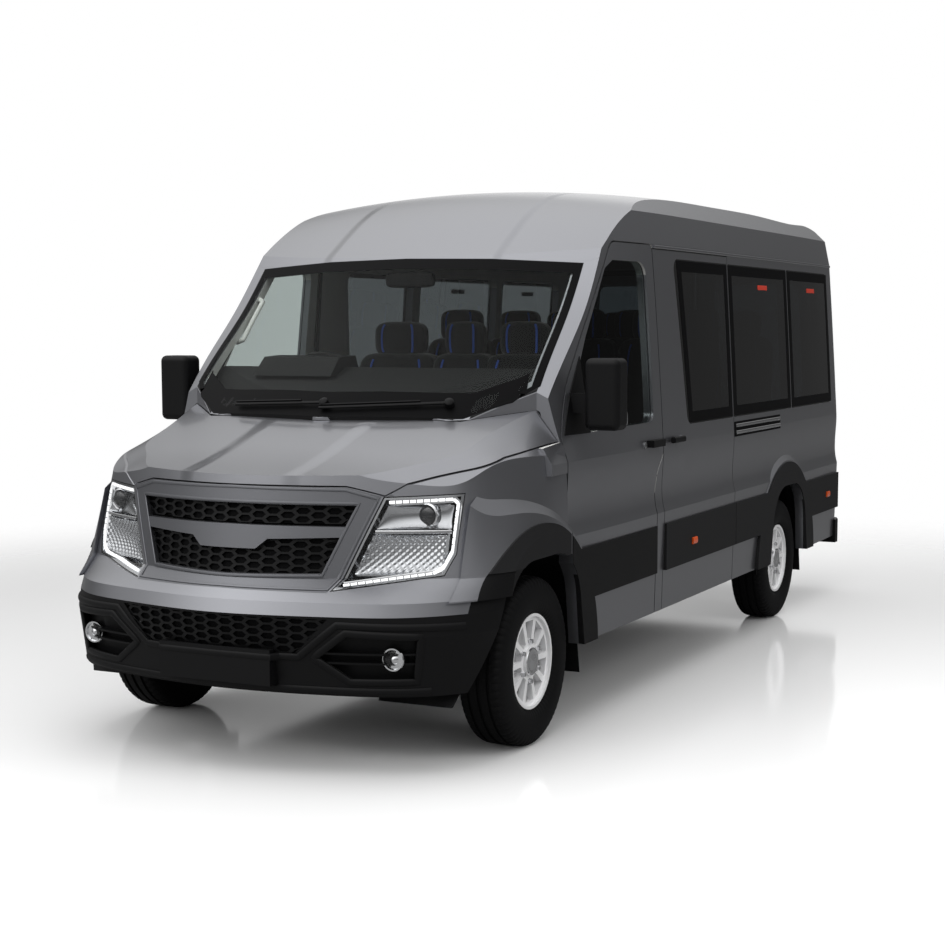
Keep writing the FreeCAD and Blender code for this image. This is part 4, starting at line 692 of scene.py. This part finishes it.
def inside_screen(point):
    """The border's inner edge beside a point of the windscreen's outline."""
    foot = border_foot_width if point.z < foot_band_z else border_width
    top = border_top_width if point.z > top_band_z else foot
    x, z = point.x, point.z
    if abs(point.x) > pillar_band_x:
        x -= copysign(border_width, point.x)
    else:
        z += foot if point.z < screen_middle_z else -top
    return Vector((x, 0, min(max(z, screen_foot_z + border_foot_width), screen_top_z - border_top_width)))


# Clear glass shows as a faint grey veil; smoked glass is dark and mirrors the room; fired
# ceramic is a black with almost no shine
coat_nodes(glazing("laminated_clear_glass", "#F7F9F8", 0.22), "windscreen")
coat_nodes(glazing("light_toughened_glass", "#D3D8D7", 0.55), "front_door_left_glass",
           "front_door_right_glass")
coat_nodes(glazing("smoked_toughened_glass", "#8B8F91", 1.0, 1.85), "side_windows")
coat_nodes(glazing("dark_smoked_rear_glass", "#73787C", 0.9), "rear_door_left_glass", "rear_door_right_glass")
fired_black = enamel("fired_black_ceramic_border", "#060607", 0.45, specular=0.06)

screen_surface = surface_of("windscreen")
screen_half = scaled(screen_outline_shares)
screen_whole = screen_half + [(-x, y, z) for x, y, z in reversed(screen_half[1:-1])]
outer_line = spaced(screen_whole, screen_step, closed=True)
inner_line = [inside_screen(point) for point in outer_line]
new_piece("windscreen_border", band(outer_line, inner_line, screen_surface, rearward), fired_black)

pane_surface = surface_of("side_windows")
borders = []
for index, (front_share, rear_share) in enumerate(pane_windows):
    y0, y1 = station(front_share) + pane_front_gap, station(rear_share) - pane_rear_gap
    z0, z1 = pane_low_z + pane_height_gap, pane_high_z - pane_height_gap
    top_y = y0 - first_pane_lean if index == 0 else y0
    outline = [(side_start, y0, z0), (side_start, y1, z0), (side_start, y1, z1), (side_start, top_y, z1)]
    outer_line = spaced(outline, pane_step, closed=True)
    middle_y, middle_z = (y0 + y1) / 2, (z0 + z1) / 2
    shrink_y, shrink_z = 1 - 2 * pane_border / (y1 - y0), 1 - 2 * pane_border / (z1 - z0)
    inner_line = [Vector((x, middle_y + (y - middle_y) * shrink_y, middle_z + (z - middle_z) * shrink_z))
                  for x, y, z in outer_line]
    borders.append(band(outer_line, inner_line, pane_surface, inward))
new_pair("side_window_{}_borders", joined(borders), fired_black)


# Wipers: two black steel arms on pivots at the foot of the windscreen, with rubber blades. They
# lie at rest on the glass.
wiper_shares = [((0.0, 0.5765), (-0.47, 0.5690)), ((0.535, 0.5780), (-0.01, 0.5675))]
wiper_stand, blade_first, blade_rise, blade_drop = 0.016, 6, 0.018, 0.010
arm_section, blade_section = round_section(0.014, 0.010, 8), round_section(0.008, 0.012, 8)
pivot_profile, pivot_sides = [(-0.01, 0.022), (0.010, 0.020), (0.016, 0.012), (0.018, 0.0)], 24
wiper_parts = []
for shares in wiper_shares:
    landed = [land(screen_surface, point, rearward, wiper_stand) for point in spaced(scaled(shares))]
    route, ups = [hit for hit, _ in landed], [normal for _, normal in landed]
    blade = [p + Vector((0, 0, blade_rise)) - u * blade_drop for p, u in landed[blade_first:]]
    wiper_parts.append(sweep(route, ups, arm_section))
    wiper_parts.append(sweep(blade, ups[blade_first:], blade_section))
    wiper_parts.append(lathe(pivot_profile, route[0], ups[0], pivot_sides))
new_piece("wipers", joined(wiper_parts), grained_black)


# Cowl: a black plastic scuttle panel, moulded in one piece and clipped down over the gap
# between the bonnet and the windscreen.
cowl_rear_shares = [(0.0, -0.138), (0.236, -0.099), (0.608, -0.021), (0.767, 0.039), (0.842, 0.060)]
cowl_gap, cowl_step, cowl_rows, cowl_stand, cowl_guess_z = 0.008, 0.04, 4, 0.002, 1.0
downward = Vector((0, 0, -1))
cowl_surface = surface_of("front_frame")
rear_edge = [(x * half_width, station(along) + cowl_gap, 0) for x, along in cowl_rear_shares]
rear_edge = spaced([(-x, y, z) for x, y, z in reversed(rear_edge[1:])] + rear_edge, cowl_step)
screen_edge = [(x, z) for x, _, z in screen_half]
feet, cowl_points = [], []
for point in rear_edge:
    foot_z = min(crossings(screen_edge, point.x))
    feet.append((land(cowl_surface, (point.x, point.y, cowl_guess_z), downward)[0],
                 land(screen_surface, (point.x, 0, foot_z), rearward)[0]))
for row in range(cowl_rows + 1):
    for front_foot, screen_foot in feet:
        place = front_foot.lerp(screen_foot, row / cowl_rows)
        if 0 < row < cowl_rows:
            place, _ = land(cowl_surface, place, downward)
        cowl_points.append(place + Vector((0, 0, cowl_stand)))
new_piece("cowl_panel", (cowl_points, grid_faces(cowl_rows + 1, len(feet))), grained_black)


# Wheels: cast aluminium rims, machined and lacquered, held by steel nuts, with rubber tyres
# that have three straight grooves and a row of shoulder lugs.
wheel_plane_x, axle_height = 0.877, 0.360
half_tread = [
    (-0.080, 0.2035), (-0.098, 0.222), (-0.106, 0.250), (-0.1070, 0.275), (-0.105, 0.300), (-0.101, 0.322),
    (-0.094, 0.340), (-0.084, 0.3520), (-0.072, 0.3575), (-0.058, 0.3592), (-0.052, 0.3592), (-0.050, 0.3510),
    (-0.040, 0.3510), (-0.038, 0.3598), (-0.008, 0.3600), (-0.006, 0.3515),
]
tread_profile = half_tread + [(-along, radius) for along, radius in reversed(half_tread)]
lug_count, lug_depth, lug_inner, lug_outer = 66, 0.0055, 0.054, 0.097
steps_per_lug = 4
nut_count, nut_circle, nut_sides, nut_sink = 6, 0.085, 6, 0.001
nut_profile = [(0, 0.01495), (0.004, 0.0115), (0.016, 0.01035), (0.016, 0.0)]
dish_face_x, cap_stand, cap_sides = 0.948, 0.0115, 48
cap_profile = [(-0.002, 0.0605), (0.004, 0.058), (0.006, 0.050), (0.0045, 0.046), (0.007, 0.030),
               (0.008, 0.0)]


def tyre_mesh(centre, side):
    """Tyre with grooves round it and cuts across its shoulders."""
    points, steps = [], lug_count * steps_per_lug
    for along, radius in tread_profile:
        for i in range(steps):
            cut = lug_depth if i % steps_per_lug == 0 and lug_inner < abs(along) < lug_outer else 0.0
            r, angle = radius - cut, tau * i / steps
            points.append(Vector(centre) + Vector((side * along, r * cos(angle), r * sin(angle))))
    return points, [face[::side] for face in grid_faces(len(tread_profile), steps, True, True)]


# Tyre rubber is black and dull with a faint sheen on its shoulders; the alloy is a pale
# lacquered silver that stays bright in the shade of the arch
tyre_rubber = enamel("moulded_tyre_rubber", "#0C0C0D", 0.62, speck=0.12, specular=0.2)
bright_alloy = enamel("lacquered_cast_aluminium", "#F4F4F5", 0.38, metallic=0.10, coat=0.4)
for end, centre_y in (("front", station(0)), ("rear", station(1))):
    for side, sign in (("left", 1), ("right", -1)):
        body = f"{end}_{side}_wheel"
        outward = Vector((sign, 0, 0))
        tread = tyre_mesh((sign * wheel_plane_x, centre_y, axle_height), sign)
        tyre = new_piece(f"{end}_{side}_tread_tyre", tread, tyre_rubber, body)
        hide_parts(f"{end}_{side}_tyre")
        coat_nodes(bright_alloy, f"{end}_{side}_rim")
        nuts = []
        for i in range(nut_count):
            angle = tau * (i + 0.5) / nut_count
            place = Vector((sign * (dish_face_x - nut_sink), centre_y + nut_circle * cos(angle),
                            axle_height + nut_circle * sin(angle)))
            nuts.append(lathe(nut_profile, place, outward, nut_sides))
        new_piece(f"{end}_{side}_wheel_nuts", joined(nuts), chrome, body, sharp=25)
        cap_place = (sign * (dish_face_x + cap_stand), centre_y, axle_height)
        new_piece(f"{end}_{side}_hub_cap", lathe(cap_profile, cap_place, outward, cap_sides), chrome, body)


# Door and body fittings: a side repeater, amber markers, locks, a bright two-bar air outlet, and
# the sliding door's handle and track cover, all clipped or screwed to the panels from outside.
outlet_y, outlet_z, outlet_bar_inset, outlet_well_margin = (0.575, 1.425), (1.176, 1.229), 0.008, 0.015
marker_places, marker_half = [(-0.156, 0.674), (2.492, 0.679)], 0.032
lock_profile, lock_sides = [(-0.02, 0.016), (0.004, 0.016), (0.006, 0.013), (0.006, 0.0)], 24
sliding_lock_place, door_lock_place = (side_start, -0.315, 1.205), (side_start, -0.825, 1.200)
track_ends, handle_ends, repeater_ends = (-0.55, 2.80), (-0.500, -0.345), (-1.865, -1.805)
track_z, handle_z, repeater_z = 2.150, 1.205, 1.173
# Width, thickness and stand of each strip
well_size, bar_size, marker_size = (0.085, 0.004, 0.0005), (0.020, 0.012, 0.003), (0.036, 0.014, 0.003)
repeater_size, handle_size, track_size = (0.024, 0.010, 0.002), (0.030, 0.026, 0.026), (0.014, 0.010, 0.001)
side_surface = surface_of("side_panel_left", "sliding_door", "side_cladding", "front_door_left", "fenders")


def side_strip(ends, z, size, surface=side_surface, step=0.03):
    """Level rounded bar laid along the left side between two y places."""
    width, height, stand = size
    route = [(side_start, y, z) for y in ends]
    return laid(route, surface, round_section(width, height, 10), inward, stand, step=step)


def side_lock(place, surface):
    """Round lock barrel in the left side."""
    return lathe(lock_profile, land(surface, place, inward)[0], -inward, lock_sides)


# Amber acrylic is glossy and deep; satin zinc is a soft grey metal
amber = enamel("amber_acrylic_lens", "#D9541A", 0.2, coat=0.6)
lock_grey = enamel("satin_lock_zinc", "#8C8D8F", 0.35, metallic=0.8)
# The outlet's well is a thin near-black strip laid flat under the bars: painted shade for the opening behind
# them
well_ends = (outlet_y[0] - outlet_well_margin, outlet_y[1] + outlet_well_margin)
outlet_painted_shade = side_strip(well_ends, sum(outlet_z) / 2, well_size)
outlet_bars = joined([side_strip(outlet_y, z, bar_size)
                      for z in (outlet_z[0] + outlet_bar_inset, outlet_z[1] - outlet_bar_inset)])
markers = joined([side_strip((y - marker_half, y + marker_half), z, marker_size, step=0.01)
                  for y, z in marker_places])
repeater = side_strip(repeater_ends, repeater_z, repeater_size, step=0.01)
door_lock = side_lock(door_lock_place, surface_of("front_door_left"))
new_pair("air_outlet_{}_well", outlet_painted_shade, painted_shade_black)
new_pair("air_outlet_{}_bars", outlet_bars, chrome)
new_pair("side_markers_{}", markers, amber)
new_pair("side_repeater_{}", repeater, grained_black)
new_pair("front_door_{}_lock", door_lock, lock_grey, "front_door_{}_body")
handle = side_strip(handle_ends, handle_z, handle_size, step=0.02)
track_cover = side_strip(track_ends, track_z, track_size, step=0.06)
new_piece("sliding_door_handle", handle, grained_black)
new_piece("sliding_door_lock", side_lock(sliding_lock_place, side_surface), lock_grey)
new_piece("sliding_door_track_cover", track_cover, body_paint)


# Window films: small red films, printed and stuck on the long side panes. They carry no text.
# They are flat and evenly coloured, and duller than the glass.
film_places, film_half, film_z, film_size = (1.19, 2.235), 0.09, 1.982, (0.028, 0.002, 0.0012)
film_red = enamel("printed_red_film", "#C23A28", 0.4, speck=0.05)
films = joined([side_strip((y - film_half, y + film_half), film_z, film_size, pane_surface)
                for y in film_places])
new_pair("window_films_{}", films, film_red)


# Mirrors: silvered glass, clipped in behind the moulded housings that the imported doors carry,
# and a clear acrylic repeater let into each housing's outer end.
glass_low, glass_high = (1.058, -1.4985, 1.336), (1.184, -1.4945, 1.608)
wedge_low, wedge_high = (1.160, -1.524, 1.332), (1.1985, -1.499, 1.398)
waist_share = 0.03
channel_across, channel_along, channel_width, channel_along_share = 0.60, 0.35, 0.05, 0.6
top_limit = 0.7


def pillow_point(unit, half, power, crown, lean, channel=0.0):
    """Where a point of the unit cube's skin goes on the rounded form."""
    size = sum(abs(c) ** power for c in unit) ** (1 / power)
    u, v, w = unit[0] / size, unit[1] / size, unit[2] / size
    seam = channel * (exp(-((abs(u) - channel_across) / channel_width) ** 2)
                      + channel_along_share * exp(-((v - channel_along) / channel_width) ** 2))
    x, y, z = u * half.x * (1 - waist_share * (1 - v * v)), v * half.y, w * half.z
    if crown[1]:
        swell = crown[1] * (1 - u * u) * (1 - w * w)
        y += copysign(swell, v) - copysign(seam, v) * (abs(v) > top_limit)
    if crown[2]:
        swell = crown[2] * (1 - u * u) * (1 - v * v)
        z += copysign(swell, w) - copysign(seam, w) * (abs(w) > top_limit)
    return Vector((x, y + lean * w, z))


def pillow(low, high, power=7.0, crown=(0.0, 0.0, 0.0), lean=0.0, cuts=11, channel=0.0):
    """A crowned closed form between two corners, with its sides drawn in between the corners."""
    box = bmesh.new()
    bmesh.ops.create_cube(box, size=2.0)
    bmesh.ops.subdivide_edges(box, edges=box.edges[:], cuts=cuts, use_grid_fill=True)
    low, high = Vector(low), Vector(high)
    middle, half = (low + high) / 2, (high - low) / 2
    points = [middle + pillow_point(vert.co, half, power, crown, lean, channel) for vert in box.verts]
    box.verts.index_update()
    faces = [tuple(v.index for v in face.verts) for face in box.faces]
    box.free()
    return points, faces


mirror_glass = pillow(glass_low, glass_high, power=6.0, cuts=5)
wedge = pillow(wedge_low, wedge_high, power=5.0, cuts=5)
new_pair("door_mirror_{}_glass", mirror_glass, chrome, "front_door_{}_body")
new_pair("door_mirror_{}_repeater", wedge, bright_bowl, "front_door_{}_body")


# Rear lamps: red acrylic lenses on the rear corners, screwed on from inside. They are glossy
# and dark until lit.
red_lens = enamel("red_acrylic_lens", "#8A0E10", 0.12, coat=0.5)
coat_nodes(red_lens, "tail_lamps")


# Cab: moulded dashboard and steering wheel, seat pedestals, an inside mirror on the windscreen
# and a pale grab handle screwed to the pillar on the driver's side.
inside_mirror_place = Vector((0.02, -1.30, 1.985))
inside_mirror_half = Vector((0.13, 0.022, 0.038))
grab_route = [(-0.850, -1.470, 1.690), (-0.812, -1.468, 1.704), (-0.798, -1.400, 1.800),
              (-0.790, -1.325, 1.888), (-0.835, -1.300, 1.905)]
grab_up, grab_step, grab_section = Vector((0, -1, 0.4)), 0.012, round_section(0.024, 0.020, 10, 2.4)
# Dark moulded plastic stays matt so that it doesn't mirror in the glass; the handle is a pale satin
dash_plastic = enamel("grained_dark_abs", "#0E0E0F", 0.6, speck=0.1, specular=0.2)
grab_grey = enamel("moulded_pale_grey_plastic", "#C9C9C6", 0.5, speck=0.05)
coat_nodes(dash_plastic, "dashboard", "steering_wheel", "seat_pedestals")
inside_mirror = pillow(inside_mirror_place - inside_mirror_half, inside_mirror_place + inside_mirror_half,
                       power=5.0, cuts=7)
new_piece("inside_mirror", inside_mirror, grained_black)
grab_line = spaced(grab_route, grab_step)
new_piece("pillar_grab_handle", sweep(grab_line, [grab_up] * len(grab_line), grab_section), grab_grey)


# Seats: moulded foam on steel frames, covered in black cloth with sewn channels and blue
# piping. Each has a cushion, a leaning back and a head restraint that is let into its top.
cab_seats = [(-0.370, 0.481, "driver"), (0.0, 0.355, "middle"), (0.332, 0.439, "outer")]
cab_seat_y, cab_seat_z, passenger_seat_z, passenger_width = -0.760, 1.010, 1.080, 0.420
row_places = [(station(share), (-0.491, 0.251, 0.671)) for share in (0.60, 0.82, 1.04)]
row_places.append((station(1.62), (-0.420, 0.0, 0.420)))
seat_length, seat_rise, back_height, back_depth, back_lean = 0.500, 0.140, 0.620, 0.130, 0.090
seat_side_gap, cushion_back_gap, cushion_top_gap, back_foot_rise = 0.004, 0.020, 0.012, 0.010
cushion_crown, back_crown, head_crown, seam_depth = 0.020, 0.018, 0.012, 0.008
head_height, head_depth, head_width_share, head_sink = 0.180, 0.090, 0.62, 0.020
back_power, head_power = 7.0, 4.0
piping_share, piping_foot, piping_step = 0.62, -0.80, 0.08
piping_section = round_section(0.011, 0.011, 8, 2.0)
# The wave node draws twenty radians to a unit, so its scale comes from the thread's spacing
thread_mm = 1.2083
thread_scale = tau / 20 * 1000 / thread_mm

# Seat cloth: crossed threads break up the highlight, and the nap gives a pale rim. The threads
# are drawn coarser than real ones, so that they show
seat_cloth, tree = new_material("woven_black_seat_cloth")
place = add_node(tree, "TexCoord")
warp, weft = [add_node(tree, "TexWave", {"bands_direction": axis}, Vector=place.outputs["Object"],
                       Scale=thread_scale, Distortion=0.6) for axis in ("X", "Z")]
threads = add_node(tree, "Math", times, _0=warp.outputs["Fac"], _1=weft.outputs["Fac"])
tint = add_node(tree, "MapRange", Value=threads, To_Min=0.8, To_Max=1.3)
shade = add_node(tree, "VectorMath", {"operation": "SCALE"}, _0=linear("#0B0B0D")[:3], Scale=tint)
relief = add_node(tree, "Bump", Strength=0.5, Distance=0.0006, Height=threads)
cloth = add_node(tree, "BsdfPrincipled", Base_Color=shade, Roughness=0.85, Sheen_Weight=0.3, Normal=relief)
add_node(tree, "OutputMaterial", Surface=cloth)
# Piping is a thin cord that draws two bright blue lines down each seat
blue_piping = enamel("woven_blue_piping", "#2B4FA8", 0.6, speck=0.2, speck_mm=1.5)


def seat_pads(x, y, z, width):
    """Cushion, back and head restraint of one seat, and the piping down its front."""
    x0, x1 = x - width / 2 + seat_side_gap, x + width / 2 - seat_side_gap
    back_top, head_y = z + back_height, y + back_lean
    middle_y, head_x, head_z = y + back_lean / 2, width * head_width_share / 2, back_top - head_sink
    cushion = pillow((x0, y - seat_length, z - seat_rise),
                     (x1, y - back_depth / 2 + cushion_back_gap, z - cushion_top_gap),
                     crown=(0, 0, cushion_crown), channel=seam_depth)
    back_low = Vector((x0, middle_y - back_depth / 2, z - seat_rise / 2 + back_foot_rise))
    back_high = Vector((x1, middle_y + back_depth / 2, back_top))
    back = pillow(back_low, back_high, back_power, (0, back_crown, 0), back_lean / 2)
    head_low = Vector((x - head_x, head_y - head_depth / 2, head_z))
    head_high = Vector((x + head_x, head_y + head_depth / 2, head_z + head_height))
    head = pillow(head_low, head_high, head_power, (0, head_crown, 0))
    piping = []
    line = spaced([(0, 0, piping_foot), (0, 0, 1.0)], piping_step)
    for low, high, power, crown, lean in ((back_low, back_high, back_power, back_crown, back_lean / 2),
                                          (head_low, head_high, head_power, head_crown, 0.0)):
        middle, half = (low + high) / 2, (high - low) / 2
        for u in (-piping_share, piping_share):
            route = [middle + pillow_point((u, -1.0, p.z), half, power, (0, crown, 0), lean) for p in line]
            piping.append(sweep(route, [-rearward] * len(route), piping_section))
    return joined([cushion, back, head]), joined(piping)


for x, width, name in cab_seats:
    pads, piping = seat_pads(x, cab_seat_y, cab_seat_z, width)
    piece = new_piece(f"{name}_seat_pads", pads, seat_cloth, sharp=70)
    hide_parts("cab_seats")
    new_piece(f"{name}_seat_piping", piping, blue_piping)
for row, (y, places) in enumerate(row_places, start=1):
    seats = [seat_pads(x, y, passenger_seat_z, passenger_width) for x in places]
    piece = new_piece(f"passenger_row_{row}_pads", joined([pads for pads, _ in seats]), seat_cloth, sharp=70)
    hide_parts("passenger_seats")
    new_piece(f"passenger_row_{row}_piping", joined([piping for _, piping in seats]), blue_piping)
